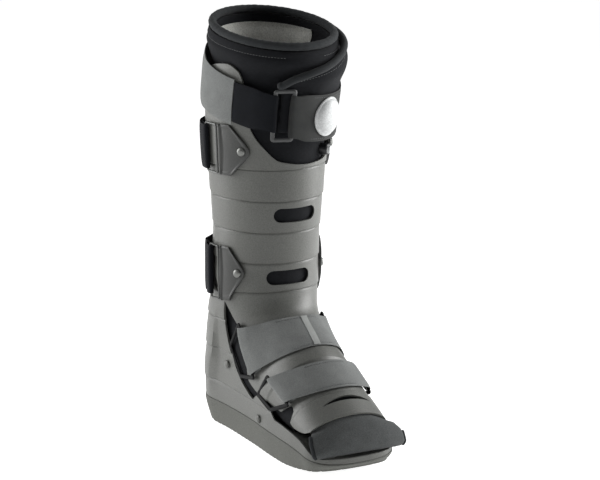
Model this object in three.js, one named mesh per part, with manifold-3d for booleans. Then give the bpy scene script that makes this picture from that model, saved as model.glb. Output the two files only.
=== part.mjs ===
// A tall medical walking boot with two hard shells over a padded soft boot.
// Millimetres, +Z up. The toe points along -Y and the pump side is +X.
// The origin is on the floor, under the middle of the calf.
import * as THREE from 'three';
import Module from 'manifold-3d';
import { mergeVertices } from 'three/addons/utils/BufferGeometryUtils.js';

// Overall sizes
const BOOT_HEIGHT = 470;
const SOLE_LENGTH = 302;
const CALF_HALF_WIDTH = 60;
const CALF_HALF_DEPTH = 69;
const FOOT_HALF_WIDTH = 54;

// Walls and clearances
const SHELL_WALL = 2.6;
const BAND_STEP = 1.0;
const STEP_HALF = 0.7;
const FOOTBED_WALL = 3.0;
const LINER_WALL = 7.0;
const FOOT_LINER_WALL = 5.0;
const SEAT_GAP = 0.35;

// Rocker sole
const SOLE_HEIGHT = 29;
const SOLE_EDGE_INSET = 5.5;
const SOLE_LIP = 0.6;
const HEEL_RISE = 17;
const TOE_RISE = 12;
const TREAD_GROOVE = 2.4;
const TREAD_DEPTH = 1.8;
const TREAD_PITCH = 9.2;

// Vent slots
const VENT_LENGTH = 52;
const VENT_HEIGHT = 16;

// Straps and their hardware
const TOP_STRAP_WIDTH = 54;
const HOOK_STRAP_WIDTH = 46;
const TOP_STRAP_HEIGHT = 385;
const TOP_STRAP_TILT = 22;
const TOP_STRAP_TURN = 30;
const PANEL_WIDTH = 51;
const STRAP_THICKNESS = 1.6;
const CALF_STRAP_WIDTH = 49;
const ANKLE_STRAP_WIDTH = 50;
const TOE_STRAP_WIDTH = 38;
const PLATE_THICKNESS = 1.8;
const PLATE_HEIGHT = 56;
const RIVET_RADIUS = 4.8;
const LOOP_BAR = 2.4;
const PUMP_RADIUS = 21.5;
const PUMP_HEIGHT = 9;
const VALVE_RADIUS = 6.5;
const VALVE_LENGTH = 9;
const BUTTON_RADIUS = 4.6;
const BUTTON_TRAVEL = 1.5;
const BINDING_RADIUS = 4.4;

const rad = THREE.MathUtils.degToRad;
const wasm = await Module();
wasm.setup();

// The form of the boot over its front: a ring at each station, from the rim down to the toe.
// Heights are shares of the boot height, along is a share of the sole length, lean is in degrees
// and turns the ring's front upwards, and half, front and back are shares of the calf's half sizes.
const FORM = [
  { station: -6, along: 0.656, height: 0.143, lean: 60, half: 0.82, front: 0.406, back: 0.27, shift: 0 },
  { station: 14, along: 0.599, height: 0.167, lean: 59, half: 0.85, front: 0.522, back: 0.31, shift: 0 },
  { station: 34, along: 0.546, height: 0.190, lean: 58, half: 0.85, front: 0.609, back: 0.38, shift: 0 },
  { station: 64, along: 0.464, height: 0.226, lean: 57, half: 0.86, front: 0.735, back: 0.51, shift: 0 },
  { station: 85, along: 0.405, height: 0.254, lean: 55, half: 0.87, front: 0.855, back: 0.63, shift: 0 },
  { station: 109, along: 0.337, height: 0.278, lean: 50, half: 0.88, front: 0.945, back: 0.84, shift: 0 },
  { station: 134, along: 0.262, height: 0.301, lean: 34, half: 0.90, front: 0.970, back: 1.71, shift: 0 },
  { station: 151, along: 0.219, height: 0.324, lean: 17, half: 0.93, front: 0.928, back: 1.20, shift: 0 },
  { station: 167, along: 0.204, height: 0.357, lean: 5, half: 0.99, front: 0.899, back: 1.03, shift: 0 },
  { station: 187, along: 0.202, height: 0.398, lean: 0, half: 1.00, front: 0.884, back: 1.00, shift: 0 },
  { station: 232, along: 0.219, height: 0.494, lean: 0, half: 1.00, front: 0.957, back: 1.00, shift: 0 },
  { station: 257, along: 0.230, height: 0.547, lean: 0, half: 1.03, front: 1.007, back: 1.015, shift: 0 },
  { station: 283, along: 0.237, height: 0.602, lean: 0, half: 1.067, front: 1.036, back: 1.036, shift: 0 },
  { station: 305, along: 0.242, height: 0.649, lean: 0, half: 1.10, front: 1.058, back: 1.058, shift: 0 },
  { station: 365, along: 0.255, height: 0.777, lean: 0, half: 1.167, front: 1.10, back: 1.10, shift: 0.02 },
  { station: 400, along: 0.275, height: 0.849, lean: -1, half: 1.183, front: 1.13, back: 1.087, shift: 0.04 },
  { station: 420, along: 0.291, height: 0.874, lean: -5, half: 1.18, front: 1.145, back: 1.09, shift: 0.035 },
  { station: 440, along: 0.308, height: 0.906, lean: -8, half: 1.167, front: 1.145, back: 1.10, shift: 0.03 },
  { station: 456, along: 0.301, height: 0.944, lean: -9.6, half: 1.10, front: 1.09, back: 1.09, shift: 0.02 },
];
const TOP_STATION = 456;
const CALF_STATION = 187;
const TOE_STATION = -6;

// The heel and calf of the rear shell, one level a row: middle and back are shares of the calf depth.
const HEEL = [
  { height: 0.00, middle: 0.50, half: 0.80, back: 0.65 },
  { height: 0.07, middle: 0.52, half: 0.86, back: 0.74 },
  { height: 0.12, middle: 0.49, half: 0.90, back: 0.77 },
  { height: 0.205, middle: 0.29, half: 0.955, back: 0.885 },
  { height: 0.245, middle: 0.22, half: 0.967, back: 0.93 },
  { height: 0.32, middle: 0.06, half: 0.965, back: 1.03 },
  { height: 0.36, middle: 0.01, half: 0.98, back: 1.01 },
  { height: 0.398, middle: 0.00, half: 1.00, back: 1.00 },
];

// The sole's outline: half is a share of the foot's half width, along of the sole length.
const FOOT = [
  { along: -0.12, half: 0.955 },
  { along: 0.00, half: 0.925 },
  { along: 0.20, half: 0.95 },
  { along: 0.37, half: 1.00 },
  { along: 0.50, half: 1.005 },
  { along: 0.60, half: 0.97 },
];
const TOE_END = 0.712;
const TOE_ROUND = 0.60;
const TOE_SQUARENESS = 2.5;
const FLAT_HEEL = -0.12;
const FLAT_BALL = 0.43;
const HEEL_END = -0.29;
const HEEL_CURVE = 1.45;
const TOE_CURVE = 1.4;

// The line where the rear shell meets the sole, as shares of the sole length and height.
const PARTING = [
  { along: -0.28, rise: 0.93 },
  { along: -0.12, rise: 1.00 },
  { along: 0.20, rise: 1.06 },
  { along: 0.50, rise: 0.98 },
  { along: 0.66, rise: 0.72 },
  { along: 0.72, rise: 0.61 },
];

// Steps between the moulded bands, as shares of the boot height.
const BANDS = [0.657, 0.582, 0.506, 0.431, 0.355];
const REAR_BANDS = [0.657, 0.582, 0.506, 0.431, 0.355, 0.279, 0.2, 0.113];

// How far the front shell wraps round, in degrees to each side.
const FRONT_REACH = 97;
const WRAP = [
  { station: -6, reach: 72 },
  { station: 0, reach: 84 },
  { station: 18, reach: 90 },
  { station: 27, reach: 86 },
  { station: 31, reach: 68 },
  { station: 38, reach: 68 },
  { station: 46, reach: 84 },
  { station: 66, reach: 80 },
  { station: 84, reach: 72 },
  { station: 104, reach: 73 },
  { station: 120, reach: 62 },
  { station: 134, reach: 60 },
  { station: 151, reach: 72 },
  { station: 167, reach: 84 },
  { station: 187, reach: FRONT_REACH },
  { station: 456, reach: FRONT_REACH },
];

// The top edge of the front shell: two ears with a scallop between them.
const SCALLOP_TURN = 12;
const EARS = [
  { angle: -116, height: 0.86 },
  { angle: -108, height: 0.883 },
  { angle: -96, height: 0.898 },
  { angle: -83, height: 0.905 },
  { angle: -72, height: 0.893 },
  { angle: -66, height: 0.864 },
  { angle: -61, height: 0.81 },
  { angle: -56, height: 0.752 },
  { angle: -45, height: 0.711 },
  { angle: -28, height: 0.675 },
  { angle: 0, height: 0.6655 },
  { angle: 28, height: 0.671 },
  { angle: 42, height: 0.695 },
  { angle: 50, height: 0.752 },
  { angle: 55, height: 0.81 },
  { angle: 59, height: 0.864 },
  { angle: 65, height: 0.893 },
  { angle: 74, height: 0.905 },
  { angle: 88, height: 0.898 },
];

// The rear shell seen from the side: its front edge and the edge of its foot walls.
const REAR_EDGE = [
  { along: 0.026, height: 0.825 },
  { along: 0.026, height: 0.27 },
  { along: 0.040, height: 0.225 },
  { along: 0.083, height: 0.168 },
  { along: 0.136, height: 0.140 },
  { along: 0.199, height: 0.121 },
  { along: 0.232, height: 0.115 },
  { along: 0.250, height: 0.133 },
  { along: 0.315, height: 0.122 },
  { along: 0.384, height: 0.110 },
  { along: 0.392, height: 0.098 },
  { along: 0.457, height: 0.096 },
  { along: 0.530, height: 0.090 },
  { along: 0.586, height: 0.081 },
  { along: 0.632, height: 0.068 },
  { along: 0.655, height: 0.056 },
  { along: 0.672, height: 0.052 },
  { along: 0.73, height: 0.051 },
];

const clamp = THREE.MathUtils.clamp;
const mix = THREE.MathUtils.lerp;

// A smooth value of one column between a table's rows, without overshoot.
function smoothValue(table, key, column, at) {
  const last = table.length - 1;
  const x = clamp(at, table[0][key], table[last][key]);
  let i = 0;
  while (i < last - 1 && x > table[i + 1][key]) i += 1;
  const rise = (n) => (table[n + 1][column] - table[n][column]) / (table[n + 1][key] - table[n][key]);
  const slope = (n) => {
    if (n === 0) return rise(0);
    if (n === last) return rise(last - 1);
    const before = rise(n - 1);
    const after = rise(n);
    return before * after <= 0 ? 0 : (2 * before * after) / (before + after);
  };
  const span = table[i + 1][key] - table[i][key];
  const t = (x - table[i][key]) / span;
  const t2 = t * t;
  const t3 = t2 * t;
  return (2 * t3 - 3 * t2 + 1) * table[i][column] + (t3 - 2 * t2 + t) * span * slope(i)
    + (3 * t2 - 2 * t3) * table[i + 1][column] + (t3 - t2) * span * slope(i + 1);
}

function smoothStep(low, high, at) {
  const t = clamp((at - low) / (high - low), 0, 1);
  return t * t * (3 - 2 * t);
}

// Stations of the straight calf and cuff follow the height, so a height gives its station.
function stationAtHeight(height) {
  let low = TOE_STATION;
  let high = TOP_STATION;
  for (let step = 0; step < 30; step += 1) {
    const middle = (low + high) / 2;
    const ring = formRing(middle);
    if (ring.z > height) high = middle;
    else low = middle;
  }
  return (low + high) / 2;
}

// The ring at a station: its middle, its lean and its half sizes.
function formRing(station) {
  const column = (name) => smoothValue(FORM, 'station', name, station);
  const lean = rad(column('lean'));
  const front = column('front') * CALF_HALF_DEPTH;
  const crownY = -column('along') * SOLE_LENGTH;
  const crownZ = column('height') * BOOT_HEIGHT;
  return {
    x: column('shift') * CALF_HALF_WIDTH,
    y: crownY + front * Math.cos(lean),
    z: crownZ - front * Math.sin(lean),
    crownZ,
    lean,
    half: column('half') * CALF_HALF_WIDTH,
    front,
    back: column('back') * CALF_HALF_DEPTH,
  };
}

// A point on the form: the angle runs from the front towards +X, the lift is outwards.
function formPoint(station, angle, lift) {
  const ring = formRing(station);
  const turn = rad(angle);
  const ahead = Math.cos(turn);
  const out = ahead * (lift + (ahead >= 0 ? ring.front : ring.back));
  return new THREE.Vector3(
    ring.x + (ring.half + lift) * Math.sin(turn),
    ring.y - out * Math.cos(ring.lean),
    ring.z + out * Math.sin(ring.lean),
  );
}

// A frame on the form: its origin, and its axes across, up and out.
function formFrame(station, angle, lift) {
  const small = 0.5;
  const origin = formPoint(station, angle, lift);
  const between = (a, b) => formPoint(a[0], a[1], lift).sub(formPoint(b[0], b[1], lift)).normalize();
  const across = between([station, angle + small], [station, angle - small]);
  const up = between([station + small, angle], [station - small, angle]);
  const out = new THREE.Vector3().crossVectors(across, up).normalize();
  up.crossVectors(out, across).normalize();
  return new THREE.Matrix4().makeBasis(across, up, out).setPosition(origin);
}

// Geometry helpers: every one gives a closed body that faces outwards.
function solidFrom(points, faces) {
  const geometry = new THREE.BufferGeometry();
  const corners = new Float32Array(points.flatMap((p) => [p.x, p.y, p.z]));
  let volume = 0;
  faces.forEach(([a, b, c]) => {
    volume += points[a].dot(new THREE.Vector3().crossVectors(points[b], points[c]));
  });
  const turned = volume < 0 ? faces.map(([a, b, c]) => [a, c, b]) : faces;
  geometry.setAttribute('position', new THREE.BufferAttribute(corners, 3));
  geometry.setIndex(turned.flat());
  return geometry;
}

function quad(faces, a, b, c, d) {
  faces.push([a, b, c], [a, c, d]);
}

// A slab between two open grids of points, the outer and the inner face.
function slab(outer, inner) {
  const rows = outer.length;
  const columns = outer[0].length;
  const points = [...outer.flat(), ...inner.flat()];
  const base = rows * columns;
  const faces = [];
  const at = (i, j) => i * columns + j;
  for (let i = 0; i < rows - 1; i += 1) {
    for (let j = 0; j < columns - 1; j += 1) {
      quad(faces, at(i, j), at(i, j + 1), at(i + 1, j + 1), at(i + 1, j));
      quad(faces, base + at(i, j), base + at(i + 1, j), base + at(i + 1, j + 1), base + at(i, j + 1));
    }
  }
  const rim = [];
  for (let j = 0; j < columns - 1; j += 1) rim.push(at(0, j));
  for (let i = 0; i < rows - 1; i += 1) rim.push(at(i, columns - 1));
  for (let j = columns - 1; j > 0; j -= 1) rim.push(at(rows - 1, j));
  for (let i = rows - 1; i > 0; i -= 1) rim.push(at(i, 0));
  rim.forEach((near, n) => {
    const next = rim[(n + 1) % rim.length];
    quad(faces, next, near, base + near, base + next);
  });
  return solidFrom(points, faces);
}

// Rings of points joined one to the next and back to the first ring: a closed hoop.
function hoop(rings) {
  const count = rings.length;
  const around = rings[0].length;
  const faces = [];
  for (let i = 0; i < count; i += 1) {
    for (let j = 0; j < around; j += 1) {
      const next = (i + 1) % count;
      const side = (j + 1) % around;
      quad(faces, i * around + j, i * around + side, next * around + side, next * around + j);
    }
  }
  return solidFrom(rings.flat(), faces);
}

// Outer rings from one end to the other and inner rings back again: an open tube with a wall.
function openTube(outer, inner) {
  return hoop([...outer, ...[...inner].reverse()]);
}

// Level outlines, each mirrored about x = 0, closed at the bottom and top straight across.
function ladderLoft(levels) {
  const around = levels[0].length;
  const faces = [];
  for (let i = 0; i < levels.length - 1; i += 1) {
    for (let j = 0; j < around; j += 1) {
      const side = (j + 1) % around;
      quad(faces, i * around + j, i * around + side, (i + 1) * around + side, (i + 1) * around + j);
    }
  }
  const half = around / 2;
  [0, levels.length - 1].forEach((level) => {
    const base = level * around;
    const flip = level !== 0;
    for (let j = 0; j < half; j += 1) {
      const right = base + j;
      const rightNext = base + j + 1;
      const left = base + ((around - j) % around);
      const leftNext = base + around - j - 1;
      const cap = [];
      if (right !== left) cap.push([right, left, leftNext]);
      if (rightNext !== leftNext) cap.push([right, leftNext, rightNext]);
      cap.forEach(([a, b, c]) => faces.push(flip ? [a, c, b] : [a, b, c]));
    }
  });
  return solidFrom(levels.flat(), faces);
}

function toManifold(geometry) {
  const bare = geometry.clone();
  bare.deleteAttribute('normal');
  bare.deleteAttribute('uv');
  const merged = mergeVertices(bare, 1e-4);
  return new wasm.Manifold(new wasm.Mesh({
    numProp: 3,
    vertProperties: new Float32Array(merged.attributes.position.array),
    triVerts: new Uint32Array(merged.index.array),
  }));
}

function fromManifold(solid) {
  const mesh = solid.getMesh();
  const geometry = new THREE.BufferGeometry();
  geometry.setAttribute('position', new THREE.BufferAttribute(mesh.vertProperties, 3));
  geometry.setIndex(new THREE.BufferAttribute(mesh.triVerts, 1));
  return geometry;
}

function cut(body, ...tools) {
  return tools.reduce((left, tool) => left.subtract(tool), body);
}

// The boot's materials
function finishOf(color, roughness, metalness = 0) {
  return new THREE.MeshStandardMaterial({ color, roughness, metalness });
}
const shellPlastic = finishOf('#6f706d', 0.55);
const soleRubber = finishOf('#62635f', 0.8);
const linerFabric = finishOf('#26272a', 0.95);
const bindingFabric = finishOf('#3a3c3d', 0.9);
const toeFabric = finishOf('#3b3d3d', 0.95);
const paleLining = finishOf('#dcdcd6', 0.95);
const greyWebbing = finishOf('#7d7f7e', 0.9);
const hookWebbing = finishOf('#12151c', 0.9);
const panelWebbing = finishOf('#4a4b4a', 0.85);
const buckleNylon = finishOf('#505150', 0.5);
const plateNylon = finishOf('#474846', 0.45);
const steelWire = finishOf('#b9bab8', 0.3, 0.9);
const rivetSteel = finishOf('#8f908d', 0.35, 0.8);
const pumpSilicone = finishOf('#e6e8e8', 0.5);
const valveBlack = finishOf('#17181a', 0.5);

const boot = new THREE.Group();

function addPiece(name, geometry, material) {
  const mesh = new THREE.Mesh(geometry, material);
  mesh.name = name;
  boot.add(mesh);
  return mesh;
}

const evenly = (count, from, to) => Array.from({ length: count + 1 }, (_, i) => mix(from, to, i / count));

// Rocker sole

function partingHeight(y) {
  return SOLE_HEIGHT * smoothValue(PARTING, 'along', 'rise', -y / SOLE_LENGTH);
}

function rockerHeight(y) {
  const flatHeel = -FLAT_HEEL * SOLE_LENGTH;
  const heelEnd = -HEEL_END * SOLE_LENGTH;
  const flatBall = -FLAT_BALL * SOLE_LENGTH;
  const toeEnd = -SOLE_LENGTH * TOE_END;
  if (y > flatHeel) return HEEL_RISE * ((y - flatHeel) / (heelEnd - flatHeel)) ** HEEL_CURVE;
  if (y < flatBall) return TOE_RISE * ((flatBall - y) / (flatBall - toeEnd)) ** TOE_CURVE;
  return 0;
}

// Half width of the foot outline at y, grown by an offset.
function footHalf(y, offset) {
  const roundStart = -TOE_ROUND * SOLE_LENGTH;
  const toeEnd = -TOE_END * SOLE_LENGTH - offset;
  const half = FOOT_HALF_WIDTH * smoothValue(FOOT, 'along', 'half', -y / SOLE_LENGTH) + offset;
  if (y >= roundStart) return half;
  const share = clamp((roundStart - y) / (roundStart - toeEnd), 0, 1);
  return half * (1 - share ** TOE_SQUARENESS) ** (1 / TOE_SQUARENESS);
}

const BACK_STEPS = 7;
const FRONT_STEPS = 9;

// One outline round the boot at a height: an ellipse behind, and in front the foot's outline low
// down, which turns into the calf's outline further up.
function levelOutline(height, offset, heightAt) {
  const share = height / BOOT_HEIGHT;
  const onCalf = share >= HEEL[HEEL.length - 1].height;
  const ring = formRing(Math.max(CALF_STATION, stationAtHeight(height)));
  const level = (name) => smoothValue(HEEL, 'height', name, share);
  const middle = onCalf ? ring.y : level('middle') * CALF_HALF_DEPTH;
  const half = (onCalf ? ring.half : level('half') * CALF_HALF_WIDTH) + offset;
  const back = (onCalf ? ring.back : level('back') * CALF_HALF_DEPTH) + offset;
  const calfShare = smoothStep(0.12, 0.32, share);
  const toeEnd = -TOE_END * SOLE_LENGTH - offset;
  const front = mix(toeEnd, middle - ring.front - offset, calfShare);
  const shift = onCalf ? ring.x : 0;
  const side = [];
  for (let i = 0; i <= BACK_STEPS; i += 1) {
    const turn = (Math.PI / 2) * (i / BACK_STEPS);
    side.push([half * Math.sin(turn), middle + back * Math.cos(turn)]);
  }
  for (let i = 1; i <= FRONT_STEPS; i += 1) {
    const turn = (Math.PI / 2) * (i / FRONT_STEPS);
    const y = middle + (front - middle) * Math.sin(turn);
    const foot = i === FRONT_STEPS ? 0 : Math.min(footHalf(y, offset), half + Math.max(0, middle - y));
    side.push([mix(foot, half * Math.cos(turn), calfShare), y]);
  }
  side[side.length - 1][0] = 0;
  const count = side.length;
  const ringPoints = side.map(([x, y]) => new THREE.Vector3(shift + x, y, heightAt(y)));
  for (let i = count - 2; i > 0; i -= 1) {
    ringPoints.push(new THREE.Vector3(shift - side[i][0], side[i][1], heightAt(side[i][1])));
  }
  return ringPoints;
}

function makeSole() {
  const low = SOLE_HEIGHT * 0.3;
  const outline = (offset, heightAt) => levelOutline(SOLE_HEIGHT, offset, heightAt);
  const body = ladderLoft([
    outline(-SOLE_EDGE_INSET, (y) => rockerHeight(y)),
    outline(-SOLE_EDGE_INSET * 0.45, (y) => (
      Math.min(rockerHeight(y) + low, mix(rockerHeight(y), partingHeight(y), 0.35)))),
    outline(SOLE_LIP, (y) => mix(rockerHeight(y), partingHeight(y), 0.82)),
    outline(SOLE_LIP, (y) => partingHeight(y)),
  ]);
  const grooves = [];
  const from = SOLE_LENGTH * 0.27;
  const to = -SOLE_LENGTH * 0.69;
  for (let y = from; y > to; y -= TREAD_PITCH) {
    const slope = Math.atan2(rockerHeight(y + 1) - rockerHeight(y - 1), 2);
    const bar = new THREE.BoxGeometry(CALF_HALF_WIDTH * 3, TREAD_GROOVE, TREAD_DEPTH * 2);
    bar.rotateX(slope);
    bar.translate(0, y + TREAD_PITCH / 2, rockerHeight(y + TREAD_PITCH / 2));
    grooves.push(toManifold(bar));
  }
  return fromManifold(cut(toManifold(body), ...grooves));
}
addPiece('rocker_sole', makeSole(), soleRubber);

// Rear shell: calf back, heel cup, foot walls and footbed in one moulding

const REAR_TUCK = SHELL_WALL + SEAT_GAP;
const REAR_TOP = 0.825 * BOOT_HEIGHT;

// The rear shell's offset at a height: inside the front shell on the calf, flush on the foot.
function rearOffset(height) {
  return -REAR_TUCK * smoothStep(0.30, 0.36, height / BOOT_HEIGHT);
}

const REAR_INNER_LEVELS = [0.12, 0.165, 0.205, 0.245, 0.285, 0.32, 0.36, 0.398, 0.494, 0.602, 0.7, 0.777];

// Levels of the rear shell's surface, moved inwards by an inset: the outer one has the bands' steps.
function rearLevels(inset, steps, bottom) {
  const rows = [];
  const add = (height, step) => {
    const blend = 1 - smoothStep(SOLE_HEIGHT, SOLE_HEIGHT * 2, height);
    const offset = rearOffset(height) - inset - step;
    const at = (y) => height + bottom + blend * (partingHeight(y) - SOLE_HEIGHT);
    rows.push(levelOutline(height, offset, at));
  };
  add(SOLE_HEIGHT, 0);
  add(SOLE_HEIGHT * 1.35, 0);
  if (steps > 0) {
    [...REAR_BANDS].reverse().forEach((share) => {
      add(share * BOOT_HEIGHT - STEP_HALF, steps);
      add(share * BOOT_HEIGHT + STEP_HALF, 0);
      if (share === REAR_BANDS[5]) add(0.32 * BOOT_HEIGHT, steps * 0.4);
    });
    add(BOOT_HEIGHT * 0.74, steps * 0.3);
  } else {
    REAR_INNER_LEVELS.forEach((share) => add(share * BOOT_HEIGHT, 0));
  }
  add(REAR_TOP + 12, steps * 0.3);
  return rows;
}

function sidePrism(points, halfWidth) {
  const shape = new THREE.Shape(points.map(([y, z]) => new THREE.Vector2(y, z)));
  const geometry = new THREE.ExtrudeGeometry(shape, { depth: 2 * halfWidth, bevelEnabled: false });
  geometry.translate(0, 0, -halfWidth);
  geometry.applyMatrix4(new THREE.Matrix4().makeBasis(
    new THREE.Vector3(0, 1, 0),
    new THREE.Vector3(0, 0, 1),
    new THREE.Vector3(1, 0, 0),
  ));
  return toManifold(geometry);
}

function rearProfile(margin) {
  const edge = REAR_EDGE.map(({ along, height }) => (
    [-along * SOLE_LENGTH - margin, height * BOOT_HEIGHT + margin]));
  const behind = SOLE_LENGTH * 0.5;
  const ahead = -SOLE_LENGTH;
  const below = -SOLE_HEIGHT;
  const toeHeight = edge[edge.length - 1][1];
  return [[behind, REAR_TOP + margin], ...edge, [ahead, toeHeight], [ahead, below], [behind, below]];
}

function makeRearShell() {
  const outer = toManifold(ladderLoft(rearLevels(0, BAND_STEP, SEAT_GAP)));
  const inner = toManifold(ladderLoft(rearLevels(SHELL_WALL, 0, SEAT_GAP + FOOTBED_WALL)));
  const shell = outer.subtract(inner);
  return shell.intersect(sidePrism(rearProfile(0), SOLE_LENGTH));
}
const rearShell = makeRearShell();
addPiece('rear_shell', fromManifold(rearShell), shellPlastic);

// The space that the rear shell's walls take up, grown inwards by the seat gap.
function rearWallSpace() {
  const outer = toManifold(ladderLoft(rearLevels(-20, 0, -20)));
  const inner = toManifold(ladderLoft(rearLevels(SHELL_WALL + SEAT_GAP, 0, 2 * SEAT_GAP + FOOTBED_WALL)));
  return outer.subtract(inner).intersect(sidePrism(rearProfile(SEAT_GAP), SOLE_LENGTH));
}

// Front shell: shin, instep and toe band in one moulding

function earHeight(angle) {
  return BOOT_HEIGHT * smoothValue(EARS, 'angle', 'height', angle - SCALLOP_TURN);
}

const TOP_ZONE = BANDS[0] * BOOT_HEIGHT + 1;
const INSTEP_STEP = 73;
const TOE_STEP = 25;

// Stations of the front shell's rows, each with its step: from the top zone's foot to the toe.
function frontRows() {
  const rows = [];
  BANDS.forEach((share) => {
    const station = stationAtHeight(share * BOOT_HEIGHT);
    rows.push({ station: station + STEP_HALF, step: 0 });
    rows.push({ station: station - STEP_HALF, step: BAND_STEP });
  });
  [151, 138, 120, 102].forEach((station) => rows.push({ station, step: 0.4 * BAND_STEP }));
  rows.push({ station: INSTEP_STEP + STEP_HALF, step: 0 });
  rows.push({ station: INSTEP_STEP - STEP_HALF, step: BAND_STEP });
  [62, 46, 38, 31].forEach((station) => rows.push({ station, step: BAND_STEP }));
  rows.push({ station: TOE_STEP + STEP_HALF, step: BAND_STEP }, { station: TOE_STEP - STEP_HALF, step: 0 });
  [14, 2, TOE_STATION].forEach((station) => rows.push({ station, step: 0 }));
  return rows;
}

const FRONT_COLUMNS = 16;

function frontShellGrid(lift) {
  const grid = [];
  const spread = evenly(FRONT_COLUMNS, -1, 1);
  const topRows = 4;
  for (let i = 0; i < topRows; i += 1) {
    grid.push(spread.map((share) => {
      const angle = share * FRONT_REACH;
      const height = mix(earHeight(angle), TOP_ZONE, i / topRows);
      return formPoint(stationAtHeight(height), angle, lift);
    }));
  }
  frontRows().forEach(({ station, step }) => {
    const reach = smoothValue(WRAP, 'station', 'reach', station);
    grid.push(spread.map((share) => formPoint(station, share * reach, lift - (lift < -1 ? 0 : step))));
  });
  return grid;
}

// A round-ended slot cutter that points out of the form.
function slotCutter(station, angle, length, height) {
  const half = length / 2 - height / 2;
  const shape = new THREE.Shape();
  shape.moveTo(-half, -height / 2);
  shape.lineTo(half, -height / 2);
  shape.absarc(half, 0, height / 2, -Math.PI / 2, Math.PI / 2, false);
  shape.lineTo(-half, height / 2);
  shape.absarc(-half, 0, height / 2, Math.PI / 2, 1.5 * Math.PI, false);
  const geometry = new THREE.ExtrudeGeometry(shape, { depth: 36, bevelEnabled: false, curveSegments: 4 });
  geometry.translate(0, 0, -24);
  geometry.applyMatrix4(formFrame(station, angle, 0));
  return toManifold(geometry);
}

// The crescent opening over the toes.
function crescentCutter(station, angle, length, height) {
  const shape = new THREE.Shape();
  shape.moveTo(-length / 2, 0);
  shape.quadraticCurveTo(0, height * 0.35, length / 2, 0);
  shape.quadraticCurveTo(0, height * 2, -length / 2, 0);
  const geometry = new THREE.ExtrudeGeometry(shape, { depth: 24, bevelEnabled: false, curveSegments: 6 });
  geometry.translate(0, 0, -14);
  geometry.applyMatrix4(formFrame(station, angle, 0));
  return toManifold(geometry);
}

const VENTS = [{ height: 0.546, angle: 3 }, { height: 0.395, angle: -1 }];
const CRESCENT_STATION = 12;
const CRESCENT_LENGTH = 60;
const CRESCENT_HEIGHT = 7;

function makeFrontShell() {
  const body = toManifold(slab(frontShellGrid(0), frontShellGrid(-SHELL_WALL)));
  const vents = VENTS.map(({ height, angle }) => (
    slotCutter(stationAtHeight(height * BOOT_HEIGHT), angle, VENT_LENGTH, VENT_HEIGHT)));
  const crescent = crescentCutter(CRESCENT_STATION, 4, CRESCENT_LENGTH, CRESCENT_HEIGHT);
  const ankleBox = new THREE.BoxGeometry(SOLE_LENGTH, SOLE_LENGTH * 2, BOOT_HEIGHT * 0.3);
  ankleBox.translate(0, 0, BOOT_HEIGHT * 0.15);
  const wallSpace = rearWallSpace().intersect(toManifold(ankleBox));
  return cut(body, ...vents, crescent, wallSpace);
}
addPiece('front_shell', fromManifold(makeFrontShell()), shellPlastic);

// Padded soft boot: one sock-like tube, open at the calf and at the toe

const LINER_TOP_DROP = BINDING_RADIUS + SEAT_GAP;
const LINER_TOE_STATION = 20;
const FLOOR_STATION = 120;
const LINER_SIDES = 20;
const CUFF_LIFT = 2;
const CUFF_STATION = 446;
const CUFF_FLARE = 418;
const LINER_STATIONS = [
  CUFF_STATION, 430, 412, 388, 365, 305, 232, CALF_STATION, 167, 151, 140, 130, 119, 102, 74, 46,
];

// Half width of the rear shell's outside at a place along the foot and a height.
function rearSide(y, height) {
  const rightSide = BACK_STEPS + FRONT_STEPS + 1;
  const outline = levelOutline(height, rearOffset(height), () => height).slice(0, rightSide);
  const after = Math.max(1, outline.findIndex((point) => point.y <= y));
  const [a, b] = [outline[after - 1], outline[after]];
  return Math.max(1, mix(a.x, b.x, (y - a.y) / (b.y - a.y)));
}

// How far the soft boot's face lies from the form: inside the shells, and full above them.
function linerLift(station, angle) {
  const inside = -(SHELL_WALL + 4 * SEAT_GAP);
  const behind = inside - REAR_TUCK * smoothStep(56, 72, Math.abs(angle)) * smoothStep(122, 150, station);
  return mix(behind, CUFF_LIFT, smoothStep(CUFF_FLARE, CUFF_STATION, station));
}

function ringFloor(ring) {
  const floorY = ring.y + ring.z * Math.cos(ring.lean) / Math.max(Math.sin(ring.lean), 0.5);
  return partingHeight(clamp(floorY, -SOLE_LENGTH * 0.6, SOLE_LENGTH * 0.2)) + FOOTBED_WALL + 2.6 * SEAT_GAP;
}

// One ring of the soft boot: its foot part is squared off and stands on the footbed.
function linerRing(station, inset, drop) {
  const ring = formRing(station);
  const onFloor = station <= FLOOR_STATION;
  const square = onFloor ? 2.8 : 2;
  const span = onFloor ? (ring.crownZ - ringFloor(ring)) / Math.sin(ring.lean) : ring.front + ring.back;
  const back = span - ring.front;
  return evenly(LINER_SIDES, 0, 360).slice(0, -1).map((angle) => {
    const lift = linerLift(station, angle > 180 ? angle - 360 : angle) - inset;
    const turn = rad(angle);
    const ahead = Math.cos(turn);
    const side = Math.sin(turn);
    const power = ahead < 0 ? 2 / square : 1;
    const across = Math.sign(side) * Math.abs(side) ** power * (ring.half + lift);
    const behindLift = onFloor ? -inset : lift;
    const out = ahead >= 0 ? ahead * (ring.front + lift) : -(Math.abs(ahead) ** power) * (back + behindLift);
    const y = ring.y - out * Math.cos(ring.lean) - drop * Math.sin(ring.lean);
    const z = ring.z + out * Math.sin(ring.lean) - drop * Math.cos(ring.lean);
    const limit = z < BOOT_HEIGHT * 0.3 ? rearSide(y, z) - SHELL_WALL - 3 * SEAT_GAP - inset : Infinity;
    return new THREE.Vector3(ring.x + clamp(across, -limit, limit), y, z);
  });
}

function largestPart(solid) {
  return solid.decompose().sort((a, b) => b.volume() - a.volume())[0];
}

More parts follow.
